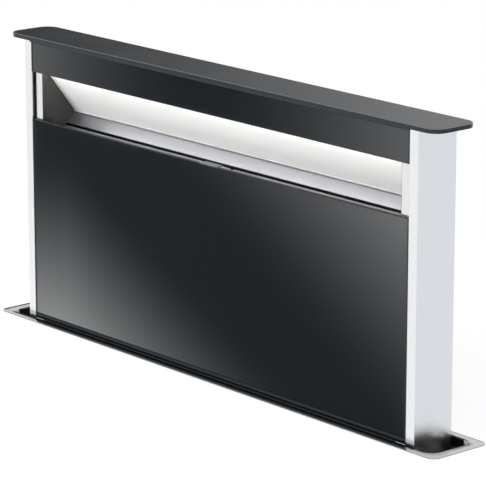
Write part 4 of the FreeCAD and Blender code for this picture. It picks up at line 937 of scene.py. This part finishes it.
@dataclass
class Tower:
    """What finishes the tower: the cap's bright edge, a black strip that paints the shadow under the cap's
    overhang, seals, screws and the back panel's ribs.
    """

    cap_x: float = 441.0
    cap_y: float = 38.0
    cap_corner: float = 19.5
    cap_edge: float = 1.2
    cap_top: float = 419.5
    cap_bottom: float = 413.5
    glass_half: float = 389.7
    back: float = 33.5
    screw_heights: tuple[float, ...] = (30.0, 120.0, 210.0, 300.0, 385.0)

    def bright_edge(self) -> Patch:
        """A polished chamfer on the cap's upper edge: a slim arc section carried round its outline.

        Returns:
            A closed ring.
        """
        loops = []
        for degrees, reach in ((28, 1.25), (45, 1.27), (62, 1.25), (62, 0.9), (28, 0.9)):
            inset = self.cap_edge - reach * math.cos(math.radians(degrees))
            height = self.cap_top - self.cap_edge + reach * math.sin(math.radians(degrees))
            loops.append((self.cap_x - inset, self.cap_y - inset, self.cap_corner - inset, height))
        return ring(loops, 14)

    def seals_and_shadow_strip(self) -> Patch:
        """A black strip under the cap's overhang, which paints the shadow there, and a black seal down each
        side of the upper glass.

        Returns:
            The three closed bars as one patch.
        """
        # The near-black strip under the cap's overhang is painted shadow.
        under = bar([(-37.2, self.cap_bottom - 1.7), (-36.6, self.cap_bottom - 2.1),
                     (-33.1, self.cap_bottom - 2.1), (-33.1, self.cap_bottom), (-37.2, self.cap_bottom)],
                    -self.glass_half, self.glass_half)
        sides = [upright([(side * 388.5, -33.3), (side * 390.4, -33.3), (side * 390.4, -32.9),
                          (side * 388.5, -32.9)], 367.6, 411.3) for side in (-1, 1)]
        return joined([under, *sides])

    def ribs(self) -> Patch:
        """Four pressed ribs on the back panel: rounded outlines in the panel's plane, a little proud.

        Returns:
            A patch of closed rings.
        """
        rings = []
        for middle in (-292.5, -97.5, 97.5, 292.5):
            flat = ring([(82.0, 150.0, 20.0, 0.0), (80.6, 148.6, 18.6, 0.9), (78.4, 146.4, 16.4, 0.9),
                         (77.0, 145.0, 15.0, 0.0)], 8)
            points = flat.points[:, [0, 2, 1]] + np.array([middle, self.back, 205.0]) * MM
            rings.append(Patch(points, flat.faces))
        return joined(rings)

    def screws(self) -> Patch:
        """Pan heads down both edges of the back panel and along its top."""
        heads = [screw_head(3.2, 1.6, (side * 384.0, self.back, height), Axis.Y, 1)
                 for side in (-1, 1) for height in self.screw_heights]
        heads += [screw_head(3.2, 1.6, (x, self.back, 405.0), Axis.Y, 1)
                  for x in (-260.0, -130.0, 0.0, 130.0, 260.0)]
        return joined(heads)

    def build(self) -> None:
        """Make the pieces that ride on the tower."""
        piece("cap_bright_edge", self.bright_edge(), MATERIALS["cap_edge"], "tower")
        piece("tower_seals_and_shadow_strip", self.seals_and_shadow_strip(), MATERIALS["seal_black"], "tower")
        piece("back_panel_ribs", self.ribs(), MATERIALS["panel_black"], "tower")
        piece("back_panel_screws", self.screws(), MATERIALS["screw_zinc"], "tower", False)


@dataclass
class Slot:
    """The air slot: its lamp's ribbed lens, the bead in its crease, and the trim of its end profiles."""

    half: float = 371.6
    lens_half: float = 360.1
    lens_front: float = -27.4
    lens_back: float = -19.9
    lens_low: float = 367.5
    lens_high: float = 368.7
    lens_ribs: int = 6
    profile_low: float = 299.0
    profile_high: float = 401.0
    insert_outer: float = 391.0

    def lens(self) -> Patch:
        """A lens with ribs along it: the underside's height is a row of cosine waves across it.

        Returns:
            A closed bar.
        """
        y = np.linspace(self.lens_front, self.lens_back, self.lens_ribs * 6 + 1)
        wave = np.cos(2 * np.pi * self.lens_ribs * (y - self.lens_front) / (self.lens_back - self.lens_front))
        under = list(zip(y.tolist(), (self.lens_low + 0.25 * (1 - wave)).tolist()))
        return bar(under + [(self.lens_back, self.lens_high), (self.lens_front, self.lens_high)],
                   -self.lens_half, self.lens_half)

    def bead(self) -> Patch:
        """A round bead that closes the joint of reflector and deflector, from end to end."""
        angle = np.arange(14) * 2 * np.pi / 14
        section = list(zip((28.6 + 1.1 * np.cos(angle)).tolist(), (304.9 + 1.1 * np.sin(angle)).tolist()))
        return bar(section, -self.half, self.half)

    def inserts(self) -> Patch:
        """A black insert up the outer edge of each end profile: a flat post with chamfered corners."""
        x = self.insert_outer - np.array([0.0, 0.0, 0.4, 3.4, 3.8, 3.8])
        y = np.array([-27.8, -28.9, -29.2, -29.2, -28.9, -27.8]) + 0.3
        return joined([upright(list(zip((side * x).tolist(), y.tolist())), self.profile_low,
                               self.profile_high) for side in (-1, 1)])

    def ribs(self) -> Patch:
        """Slim round ribs up the inner face of each end profile, above the filters."""
        angle = np.radians(np.linspace(-90.0, 90.0, 9))
        made = []
        for side in (-1, 1):
            for y in (-26.0, -22.5, -15.5):
                x = side * (372.2 - 0.45 * np.cos(angle))
                outline = list(zip(x.tolist(), (y + 1.2 * np.sin(angle)).tolist()))
                outline += [(side * 372.4, y + 1.2), (side * 372.4, y - 1.2)]
                made.append(upright(outline, self.profile_low, self.profile_high))
        return joined(made)

    def build(self) -> None:
        """Make the lens in place of the CAD's flat one, the bead, the inserts and the ribs."""
        lens = piece("lamp_lens", self.lens(), MATERIALS["diffuser_opal"], "tower")
        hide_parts("light_diffuser")
        piece("slot_bead", self.bead(), MATERIALS["slot_grey"], "tower")
        piece("profile_inserts", self.inserts(), MATERIALS["seal_black"], "tower")
        piece("profile_ribs", self.ribs(), MATERIALS["strip_aluminium"], "tower")


@dataclass
class GlassPanel:
    """What edges the tilting glass: a polished bead at its foot and dark beads round it."""

    half: float = 389.7
    front: float = -33.0
    bottom: float = -3.0
    top: float = 297.5
    foot_r: float = 0.6
    tab_half: float = 19.0

    def foot_bead(self) -> Patch:
        """A half-round bead along the foot: half a circle in front of the glass."""
        angle = np.radians(np.linspace(90.0, 270.0, 13))
        section = list(zip((self.front + self.foot_r * np.cos(angle)).tolist(),
                           (self.foot_r * np.sin(angle)).tolist()))
        return bar(section + [(self.front + 0.1, -self.foot_r), (self.front + 0.1, self.foot_r)],
                   -self.half, self.half)

    def edge_beads(self) -> Patch:
        """Dark beads over the foot bead, up both sides, and along the top beside the finger tab.

        Returns:
            The closed bars as one patch.
        """
        face = self.front
        low = bar([(face - 0.25, 0.65), (face - 0.35, 0.9), (face - 0.35, 1.4), (face - 0.15, 1.7),
                   (face + 0.1, 1.7), (face + 0.1, 0.65)], -self.half, self.half)
        sides = [upright([(side * 388.4, face - 0.3), (side * 390.0, face - 0.3), (side * 390.0, face + 0.1),
                          (side * 388.4, face + 0.1)], 1.7, self.top) for side in (-1, 1)]
        section = [(face + 0.1, self.top - 0.1), (face + 0.1, self.top + 0.9), (face + 0.6, self.top + 1.3),
                   (face + 3.4, self.top + 1.3), (face + 3.9, self.top + 0.9), (face + 3.9, self.top - 0.1)]
        top = [bar(section, -self.half, -self.tab_half), bar(section, self.tab_half, self.half)]
        return joined([low, *sides, *top])

    def build(self) -> None:
        """Make the beads on the glass's own body."""
        piece("glass_foot_bead", self.foot_bead(), MATERIALS["strip_aluminium"], "glass_panel")
        piece("glass_edge_beads", self.edge_beads(), MATERIALS["seal_black"], "glass_panel")


@dataclass
class GreaseFilter:
    """One lift-out filter: a folded frame round woven wire and foil, with a wire handle.

    It is drawn flat, across, through and up, then leant back and stood in the trough.
    """

    side: int
    inner: float = 1.0
    outer: float = 371.1
    thick: float = 9.0
    tall: float = 283.6
    border: float = 12.0
    lean: float = 0.09088
    foot_y: float = -21.5
    foot_z: float = 4.4
    pitch: float = 10.0
    wire_r: float = 0.55

    def placed(self, patch: Patch) -> Patch:
        """Stand a flat patch up: turned about X by the lean, moved to the foot, and mirrored for the left.

        Args:
            patch: points as across, through, up.

        Returns:
            The patch in the frame.
        """
        x, through, up = patch.points.T
        cos, sin = math.cos(self.lean), math.sin(self.lean)
        points = np.stack([self.side * x, self.foot_y * MM + through * cos + up * sin,
                           self.foot_z * MM - through * sin + up * cos], axis=-1)
        return Patch(points, patch.faces)

    def frame(self) -> Patch:
        """The folded frame: a round-edged channel section carried round the filter's outline.

        Returns:
            A flat closed ring.
        """
        half_x, half_z = (self.outer - self.inner) / 2, self.tall / 2
        loops = []
        for inset, through in ((0.0, 1.6), (0.25, 0.9), (0.9, 0.6), (self.border, 0.6), (self.border, 2.0),
                               (self.border - 1.2, 2.2), (self.border - 1.2, 6.8), (self.border, 7.0),
                               (self.border, 8.4), (0.9, 8.4), (0.25, 8.1), (0.0, 7.4)):
            loops.append((half_x - inset, half_z - inset, max(6.0 - inset, 0.8), through))
        flat = ring(loops, 5)
        points = flat.points[:, [0, 2, 1]]
        return Patch(points + np.array([(self.inner + self.outer) / 2, 0.0, half_z]) * MM, flat.faces)

    def wires(self) -> Patch:
        """The weave: upright and level wires that pass before and behind each other by a cosine.

        Returns:
            A flat patch of closed tubes.
        """
        low_x, high_x = self.inner + self.border - 1.0, self.outer - self.border + 1.0
        low_z, high_z = self.border - 1.0, self.tall - self.border + 1.0
        made = []
        for index, x in enumerate(np.arange(low_x + self.pitch / 2, high_x, self.pitch)):
            up = np.arange(low_z, high_z, self.pitch / 3)
            through = 2.6 + self.wire_r * np.cos(np.pi * (up - low_z) / self.pitch + np.pi * index)
            made.append(tube(np.stack([x + 0 * up, through, up], axis=-1), self.wire_r, (1.0, 0.0, 0.0), 5))
        for index, z in enumerate(np.arange(low_z + self.pitch / 2, high_z, self.pitch)):
            across = np.arange(low_x, high_x, self.pitch / 3)
            through = 2.6 - self.wire_r * np.cos(np.pi * (across - low_x) / self.pitch + np.pi * index)
            made.append(tube(np.stack([across, through, z + 0 * across], axis=-1), self.wire_r,
                             (0.0, 0.0, 1.0), 5))
        return joined(made)

    def foil(self) -> Patch:
        """Crumpled foil behind the weave: its depth is a product of two sines, with a small thickness.

        Returns:
            A flat closed patch.
        """
        x = np.linspace(self.inner + self.border - 1.0, self.outer - self.border + 1.0, 70)[:, None]
        z = np.linspace(self.border - 1.0, self.tall - self.border + 1.0, 54)[None]
        through = 5.2 + 0.9 * np.sin(2 * np.pi * x / 11.0) * np.sin(2 * np.pi * z / 11.0)
        front = np.stack([x + 0 * z, through, z + 0 * x], axis=-1)
        back = front[:, ::-1] + np.array([0.0, 0.4, 0.0])
        return grid_patch(np.concatenate([front, back], axis=1) * MM)

    def handle(self) -> Patch:
        """The wire handle: a bail whose legs drop from the frame and join over round corners.

        Returns:
            A flat closed tube.
        """
        middle, top = (self.inner + self.outer) / 2, self.tall - self.border + 1.0
        turn = np.linspace(0.0, np.pi / 2, 6)
        left = np.stack([middle - 25.0 - 5.0 * np.cos(turn), top - 16.0 - 5.0 * np.sin(turn)], axis=-1)
        right = np.stack([2 * middle - left[::-1, 0], left[::-1, 1]], axis=-1)
        flat = np.concatenate([[[middle - 30.0, top]], left, right, [[middle + 30.0, top]]])
        path = np.stack([flat[:, 0], np.full(len(flat), 1.3), flat[:, 1]], axis=-1)
        return tube(path, 1.3, (0.0, 1.0, 0.0), 10)

    def rivets(self) -> Patch:
        """Four flat rivets that hold the frame's corners."""
        heads = [screw_head(2.4, 0.55, (x, 0.6, z), Axis.Y, -1)
                 for x in (self.inner + 6.0, self.outer - 6.0) for z in (6.0, self.tall - 6.0)]
        return joined(heads)

    def build(self) -> None:
        """Make the filter in place of the CAD's barred one."""
        word = "left" if self.side < 0 else "right"
        body = "filter_" + word
        metal = MATERIALS["filter_aluminium"]
        made = piece("filter_frame_" + word, self.placed(self.frame()), metal, body)
        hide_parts("grease_filter_" + word)
        piece("filter_weave_" + word, self.placed(self.wires()), metal, body)
        piece("filter_foil_" + word, self.placed(self.foil()), metal, body)
        piece("filter_handle_" + word, self.placed(self.handle()), MATERIALS["screw_zinc"], body)
        piece("filter_rivets_" + word, self.placed(self.rivets()), MATERIALS["screw_zinc"], body,
              False)


@dataclass
class Fixings:
    """The threaded clamp bolts and levelling feet."""

    bolt_x: float = 461.9
    bolt_low: float = -108.0
    bolt_high: float = -40.0
    foot_x: float = 350.0
    foot_low: float = -672.0
    foot_high: float = -628.0

    def clamp_bolt(self, side: int) -> Patch:
        """A clamp bolt: a hexagon head, a threaded shank and a pad with a rolled rim.

        Args:
            side: -1 for the left, 1 for the right.

        Returns:
            Its closed shells as one patch.
        """
        centre = (side * self.bolt_x, 0.0)
        pad = turned([(0.2 * MM, -4.0 * MM), (7.4 * MM, -4.0 * MM), (8.7 * MM, -3.4 * MM),
                      (9.0 * MM, -2.4 * MM), (8.8 * MM, -0.6 * MM), (8.0 * MM, 0.0), (0.2 * MM, 0.0)],
                     (centre[0] * MM, 0.0, self.bolt_high * MM), Axis.Z, 40)
        return joined([hexagon_head(12.0, self.bolt_low, self.bolt_low + 6.0, centre),
                       thread(3.0, 0.45, 1.0, self.bolt_low + 6.0, self.bolt_high - 4.0, centre), pad])

    def foot(self, side: int) -> tuple[Patch, Patch]:
        """A levelling foot: a threaded stud with a nut, over a moulded pad with a stepped rim.

        Args:
            side: -1 for the left, 1 for the right.

        Returns:
            The stud and the pad.
        """
        centre = (side * self.foot_x, 0.0)
        stud = joined([thread(5.0, 0.7, 1.5, self.foot_low + 8.0, self.foot_high, centre, 24),
                       hexagon_head(15.0, self.foot_low + 8.0, self.foot_low + 13.0, centre)])
        pad = turned([(0.2 * MM, 0.0), (14.6 * MM, 0.0), (15.8 * MM, 0.8 * MM), (16.0 * MM, 2.6 * MM),
                      (15.2 * MM, 3.4 * MM), (15.2 * MM, 4.2 * MM), (14.0 * MM, 5.6 * MM),
                      (9.6 * MM, 7.4 * MM), (8.6 * MM, 8.0 * MM), (0.2 * MM, 8.0 * MM)],
                     (centre[0] * MM, 0.0, self.foot_low * MM), Axis.Z, 48)
        return stud, pad

    def build(self) -> None:
        """Make both pairs in place of the CAD's plain ones."""
        for word, side in (("left", -1), ("right", 1)):
            bolt = piece("clamp_thread_" + word, self.clamp_bolt(side), MATERIALS["screw_zinc"],
                         "clamp_" + word)
            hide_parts("clamp_bolt_" + word)
            stud, pad = self.foot(side)
            made = piece("foot_pad_" + word, pad, MATERIALS["foot_black"], "foot_" + word)
            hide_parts("levelling_foot_" + word)
            piece("foot_stud_" + word, stud, MATERIALS["screw_zinc"], "foot_" + word)


@dataclass
class BelowWorktop:
    """What finishes the machine below: the control box's screws and louvres, and the duct's seal."""

    lid_face: float = -86.7
    lid_x: tuple[float, float] = (-322.0, -158.0)
    lid_z: tuple[float, float] = (-292.0, -168.0)
    duct_x: float = 234.5
    duct_y: float = -121.2
    duct_r: float = 74.5

    def lid_screws(self) -> Patch:
        """Four pan heads in the corners of the control box's lid."""
        return joined([screw_head(3.0, 1.5, (x, self.lid_face, z), Axis.Y, -1)
                       for x in self.lid_x for z in self.lid_z])

    def lid_vents(self) -> Patch:
        """Louvres on the lid: slim half-round ridges, one over another."""
        angle = np.radians(np.linspace(90.0, 270.0, 9))
        made = []
        for row in range(7):
            height = -252.0 + 8.0 * row
            section = list(zip((self.lid_face + 1.4 * np.cos(angle)).tolist(),
                               (height + 1.6 * np.sin(angle)).tolist()))
            section += [(self.lid_face + 0.3, height - 1.6), (self.lid_face + 0.3, height + 1.6)]
            made.append(bar(section, -290.0, -190.0))
        return joined(made)

    def duct_seal(self) -> Patch:
        """Two rubber lips round the duct's outlet: rings with a sloped section."""
        made = []
        for height in (-598.0, -606.0):
            angle = np.arange(72) * 2 * np.pi / 72
            rows = [np.stack([self.duct_x + size * np.cos(angle), self.duct_y + size * np.sin(angle),
                              np.full(72, height + lift)], axis=-1)
                    for size, lift in ((self.duct_r - 0.3, 1.6), (self.duct_r + 1.1, -1.0),
                                       (self.duct_r + 1.1, -1.6), (self.duct_r - 0.3, -1.0))]
            made.append(grid_patch(np.stack(rows) * MM, wrap_rows=True))
        return joined(made)

    def build(self) -> None:
        """Make the pieces on the housing."""
        piece("lid_screws", self.lid_screws(), MATERIALS["screw_zinc"], "housing", False)
        piece("lid_louvres", self.lid_vents(), MATERIALS["control_grey"], "housing")
        piece("duct_seal", self.duct_seal(), MATERIALS["belt_rubber"], "housing")


# ---- stage ----------------------------------------------------------------------------------------
@dataclass
class Room:
    """What mirrors show of the studio: white, with a few greyer parts that shape the reflections.

    The glass front mirrors one small part of the room towards the main camera. There the room is dark,
    with two soft bright panels, and its pattern is written in metres on the glass. The cap mirrors a band
    just over the horizon, and the column's side a pale grey part below it. All of it is worked out from
    the main camera's place and tuned to its picture, so from other angles it slides over the surfaces.
    """

    eye: tuple[float, float, float]
    glass_y: float = -33 * MM
    glass_half: float = 0.391
    dark: float = 0.17
    glass_shine: float = 0.064
    brightest: float = 3.5
    side_tint: tuple[float, float, float] = (0.755, 0.775, 0.80)

    def slope(self, wiring: "Wiring", base: float, parts: list[tuple[bpy.types.NodeSocket, float]]
              ) -> bpy.types.NodeSocket:
        """A flat slope: a number plus each value times its share, and never below nothing.

        Args:
            wiring: the world's wiring.
            base: the number.
            parts: values with their shares.

        Returns:
            The result's socket.
        """
        total: bpy.types.NodeSocket | float = base
        for value, share in parts:
            total = wiring.math("ADD", wiring.math("MULTIPLY", value, share), total)
        return wiring.math("MAXIMUM", total, 0.0)

    def pair(self, wiring: "Wiring", first: bpy.types.NodeSocket, second: bpy.types.NodeSocket
             ) -> bpy.types.NodeSocket:
        """The sum of two squares."""
        return wiring.math("ADD", wiring.math("MULTIPLY", first, first),
                           wiring.math("MULTIPLY", second, second))

    def seen_in_glass(self, wiring: "Wiring", way: bpy.types.Node
                      ) -> tuple[bpy.types.NodeSocket, bpy.types.NodeSocket]:
        """The bright panels in the dark part, and where that part is.

        A direction (a, b, c) is the mirrored sight of the glass point x = ex + d a / -b and
        z = ez + d c / -b, with (ex, ez) the camera's place and d its distance from the glass's plane.

        Args:
            wiring: the world's wiring.
            way: the node that holds the direction's three parts.

        Returns:
            The level and the mask.
        """
        reach = abs(self.eye[1] - self.glass_y)
        front = wiring.math("MAXIMUM", wiring.math("MULTIPLY", way.outputs[1], -1.0), 0.05)
        across = wiring.math("DIVIDE", way.outputs[0], front)
        up = wiring.math("DIVIDE", way.outputs[2], front)
        x = wiring.math("ADD", wiring.math("MULTIPLY", across, reach), self.eye[0])
        z = wiring.math("ADD", wiring.math("MULTIPLY", up, reach), self.eye[2])
        held = wiring.math("MAXIMUM", x, -0.31)
        lower = self.pair(wiring, self.slope(wiring, 0.206, [(held, -0.898), (z, -1.785)]),
                          self.slope(wiring, -0.284, [(x, 0.814), (z, 1.28)]))
        upper = self.pair(wiring, self.slope(wiring, -0.025, [(x, -0.78)]),
                          self.slope(wiring, -0.004, [(x, 0.84)]))
        share = wiring.ramp(z, 0.32, 0.345, 0.0, 1.0)
        shine = wiring.math("ADD", wiring.math("MULTIPLY", upper, share),
                            wiring.math("MULTIPLY", lower, wiring.math("SUBTRACT", 1.0, share)))
        level = wiring.math("MULTIPLY", shine, 1 / self.glass_shine)
        level = wiring.math("MINIMUM", wiring.math("ADD", level, self.dark), self.brightest)
        half = self.glass_half
        mask = wiring.ramp(wiring.math("ABSOLUTE", x), half + 0.006, half, 0.0, 1.0)
        slot = wiring.math("MULTIPLY", wiring.ramp(z, 0.299, 0.303, 0.0, 1.0),
                           wiring.ramp(z, 0.369, 0.365, 0.0, 1.0))
        mask = wiring.math("MULTIPLY", mask, wiring.math("SUBTRACT", 1.0, slot))
        mask = wiring.math("MULTIPLY", mask, wiring.ramp(z, -0.09, -0.02, 0.0, 1.0))
        mask = wiring.math("MULTIPLY", mask, wiring.ramp(z, 0.50, 0.45, 0.0, 1.0))
        return level, wiring.math("MULTIPLY", mask, wiring.ramp(way.outputs[1], -0.2, -0.3, 0.0, 1.0))

    def seen_in_cap(self, wiring: "Wiring", way: bpy.types.Node
                    ) -> tuple[bpy.types.NodeSocket, bpy.types.NodeSocket]:
        """A band over the horizon that brightens from left to right as the camera sees it.

        Args:
            wiring: the world's wiring.
            way: the node that holds the direction's three parts.

        Returns:
            The level and the mask.
        """
        turn = math.atan2(self.eye[0], -self.eye[1])
        flat = wiring.math("SQRT", self.pair(wiring, way.outputs[0], way.outputs[1]))
        sideways = wiring.math("ADD", wiring.math("MULTIPLY", way.outputs[0], math.cos(turn)),
                               wiring.math("MULTIPLY", way.outputs[1], math.sin(turn)))
        sideways = wiring.math("DIVIDE", sideways, wiring.math("MAXIMUM", flat, 0.05))
        rise = wiring.ramp(sideways, -0.09, 0.075, 0.0, 1.0, "LINEAR")
        level = wiring.math("ADD", wiring.math("MULTIPLY", wiring.math("MULTIPLY", rise, rise), 0.5), 0.04)
        mask = wiring.math("MULTIPLY", wiring.ramp(way.outputs[2], 0.262, 0.228, 0.0, 1.0),
                           wiring.ramp(way.outputs[2], -0.02, 0.03, 0.0, 1.0))
        return level, mask

    def seen_in_side(self, wiring: "Wiring", way: bpy.types.Node) -> bpy.types.NodeSocket:
        """The colour: white, and a pale grey below the horizon behind the vent's right.

        Args:
            wiring: the world's wiring.
            way: the node that holds the direction's three parts.

        Returns:
            A colour socket.
        """
        along = wiring.math("ADD", wiring.math("MULTIPLY", way.outputs[0], 0.757),
                            wiring.math("MULTIPLY", way.outputs[1], 0.653))
        mask = wiring.math("MULTIPLY", wiring.ramp(along, 0.45, 0.85, 0.0, 1.0),
                           wiring.ramp(way.outputs[2], 0.05, -0.05, 0.0, 1.0))
        mix = wiring.add("Mix", data_type="RGBA")
        mix.inputs[6].default_value = (1.0, 1.0, 1.0, 1.0)
        mix.inputs[7].default_value = (*self.side_tint, 1.0)
        wiring.link(mask, mix.inputs[0])
        return mix.outputs[2]

    def build(self) -> None:
        """Make the world: white to the camera, shaped to mirrors, and a plain grey light to the rest."""
        world = bpy.data.worlds.new("studio")
        bpy.context.scene.world = world
        world.use_nodes = True
        tree = world.node_tree
        wiring = Wiring(tree)
        light = tree.nodes["Background"]
        light.inputs["Color"].default_value = (0.62, 0.62, 0.62, 1.0)
        way = wiring.add("SeparateXYZ")
        wiring.link(wiring.add("TexCoord").outputs["Generated"], way.inputs[0])
        level: bpy.types.NodeSocket | float = 1.0
        for wanted, mask in (self.seen_in_cap(wiring, way), self.seen_in_glass(wiring, way)):
            gap = wiring.math("SUBTRACT", wanted, level)
            level = wiring.math("ADD", wiring.math("MULTIPLY", gap, mask), level)
        mirrored = wiring.add("Background")
        wiring.link(self.seen_in_side(wiring, way), mirrored.inputs["Color"])
        wiring.link(level, mirrored.inputs["Strength"])
        white = wiring.add("Background")
        white.inputs["Color"].default_value = (1.0, 1.0, 1.0, 1.0)
        ray = wiring.add("LightPath")
        glossy = wiring.add("MixShader")
        wiring.link(ray.outputs["Is Glossy Ray"], glossy.inputs[0])
        wiring.link(light.outputs[0], glossy.inputs[1])
        wiring.link(mirrored.outputs[0], glossy.inputs[2])
        looked = wiring.math("MAXIMUM", ray.outputs["Is Camera Ray"], ray.outputs["Is Transmission Ray"])
        pick = wiring.add("MixShader")
        wiring.link(looked, pick.inputs[0])
        wiring.link(glossy.outputs[0], pick.inputs[1])
        wiring.link(white.outputs[0], pick.inputs[2])
        wiring.link(pick.outputs[0], tree.nodes["World Output"].inputs["Surface"])


@dataclass
class Stage:
    """The worktop that the vent stands in, the lamps and the camera."""

    floor_z: float = -0.2 * MM
    floor_radius: float = 7.0
    cut_half_x: float = 452 * MM
    cut_half_y: float = 47 * MM
    cut_corner: float = 12 * MM
    lens: float = 219.8
    azimuth: float = 49.18
    elevation: float = 14.56
    distance: float = 4.018
    target: tuple[float, float, float] = (0.035, 0.0, 0.191)

    def back(self) -> Vector:
        """The direction from the target to the camera."""
        turn, rise = math.radians(self.azimuth), math.radians(self.elevation)
        return Vector((math.sin(turn) * math.cos(rise), -math.cos(turn) * math.cos(rise), math.sin(rise)))

    def build(self) -> None:
        """Make floor, world, lamps and camera, seen through a plain view."""
        bpy.context.scene.view_settings.view_transform = "Standard"
        self.camera()
        self.floor()
        Room(tuple(Vector(self.target) + self.back() * self.distance)).build()
        self.lamp("key_softbox", (-1.2, -2.6, 2.6), (0.0, 0.0, 0.2), 2.2, 70.0)
        self.lamp("side_softbox", (3.2, 0.6, 1.9), (0.2, 0.0, 0.2), 1.8, 34.0)
        self.lamp("low_softbox", (-0.9, -3.2, 0.55), (0.0, 0.0, 0.3), 1.2, 58.0)

    def camera(self) -> None:
        """Place the camera on a line from the target at the photograph's azimuth and elevation."""
        data = bpy.data.cameras.new("camera")
        data.lens = self.lens
        data.sensor_width = 36.0
        data.clip_end = 100.0
        camera = bpy.data.objects.new("camera", data)
        camera.location = Vector(self.target) + self.back() * self.distance
        camera.rotation_mode = "QUATERNION"
        camera.rotation_quaternion = (-self.back()).to_track_quat("-Z", "Y")
        bpy.context.scene.collection.objects.link(camera)
        bpy.context.scene.camera = camera

    def floor(self) -> None:
        """A worktop plane: rings that blend from the rounded cut-out to a far circle."""
        inner = rounded_outline(self.cut_half_x, self.cut_half_y, self.cut_corner)
        angle = np.arctan2(inner[:, 1], inner[:, 0])
        outer = self.floor_radius * np.stack([np.cos(angle), np.sin(angle)], axis=-1)
        share = np.array([0.0, 0.02, 0.1, 0.4, 1.0])[:, None, None]
        flat = inner[None] * (1 - share) + outer[None] * share
        grid = np.concatenate([flat, np.full(flat.shape[:2] + (1,), self.floor_z)], axis=-1)
        patch = grid_patch(grid, caps=False)
        mesh = bpy.data.meshes.new("worktop_floor")
        mesh.from_pydata(patch.points.tolist(), [], patch.faces)
        mesh.materials.append(self.floor_material())
        made = bpy.data.objects.new("worktop_floor", mesh)
        bpy.context.scene.collection.objects.link(made)
        if mesh.polygons[0].normal.z < 0:
            mesh.flip_normals()

    def floor_material(self) -> bpy.types.Material:
        """White to the camera, with the object's shadow; clear from below and to mirrors.

        Returns:
            The material.
        """
        material = bpy.data.materials.new("floor_white")
        material.use_nodes = True
        tree = material.node_tree
        tree.nodes.remove(tree.nodes["Principled BSDF"])
        wiring = Wiring(tree)
        plain = wiring.add("BsdfDiffuse")
        plain.inputs["Color"].default_value = (0.8, 0.8, 0.8, 1.0)
        shadowed = wiring.add("BsdfDiffuse")
        shadowed.inputs["Color"].default_value = (0.27, 0.27, 0.27, 1.0)
        glow = wiring.add("Emission")
        glow.inputs["Strength"].default_value = 0.80
        seen = wiring.add("AddShader")
        wiring.link(shadowed.outputs[0], seen.inputs[0])
        wiring.link(glow.outputs[0], seen.inputs[1])
        ray = wiring.add("LightPath")
        looked = wiring.math("MAXIMUM", ray.outputs["Is Camera Ray"], ray.outputs["Is Transmission Ray"])
        pick = wiring.add("MixShader")
        wiring.link(looked, pick.inputs[0])
        wiring.link(plain.outputs[0], pick.inputs[1])
        wiring.link(seen.outputs[0], pick.inputs[2])
        clear = wiring.add("BsdfTransparent")
        side = wiring.add("NewGeometry")
        through = wiring.math("MAXIMUM", side.outputs["Backfacing"], ray.outputs["Is Glossy Ray"])
        out = wiring.add("MixShader")
        wiring.link(through, out.inputs[0])
        wiring.link(pick.outputs[0], out.inputs[1])
        wiring.link(clear.outputs[0], out.inputs[2])
        wiring.link(out.outputs[0], tree.nodes["Material Output"].inputs["Surface"])
        return material

    def lamp(self, name: str, place: tuple[float, float, float], aim: tuple[float, float, float],
             size: float, power: float) -> None:
        """Add a square soft lamp.

        Args:
            name: its name.
            place: where it stands.
            aim: the point that it faces.
            size: its side.
            power: its power in watts.
        """
        data = bpy.data.lights.new(name, "AREA")
        data.size = size
        data.energy = power
        made = bpy.data.objects.new(name, data)
        made.location = place
        made.rotation_mode = "QUATERNION"
        made.rotation_quaternion = (Vector(aim) - Vector(place)).to_track_quat("-Z", "Y")
        made.visible_glossy = False
        bpy.context.scene.collection.objects.link(made)


# ---- build ----------------------------------------------------------------------------------------
def main() -> None:
    """Dress the frame and build every sub-assembly."""
    logging.basicConfig(level=logging.INFO, format="%(message)s")
    Stage().build()
    dress_frame()
    for part in (WorktopFlange(), Tower(), Slot(), GlassPanel(), GreaseFilter(-1), GreaseFilter(1),
                 Fixings(), BelowWorktop()):
        LOG.info("sub-assembly %s", type(part).__name__)
        part.build()


if __name__ == "__main__":
    main()
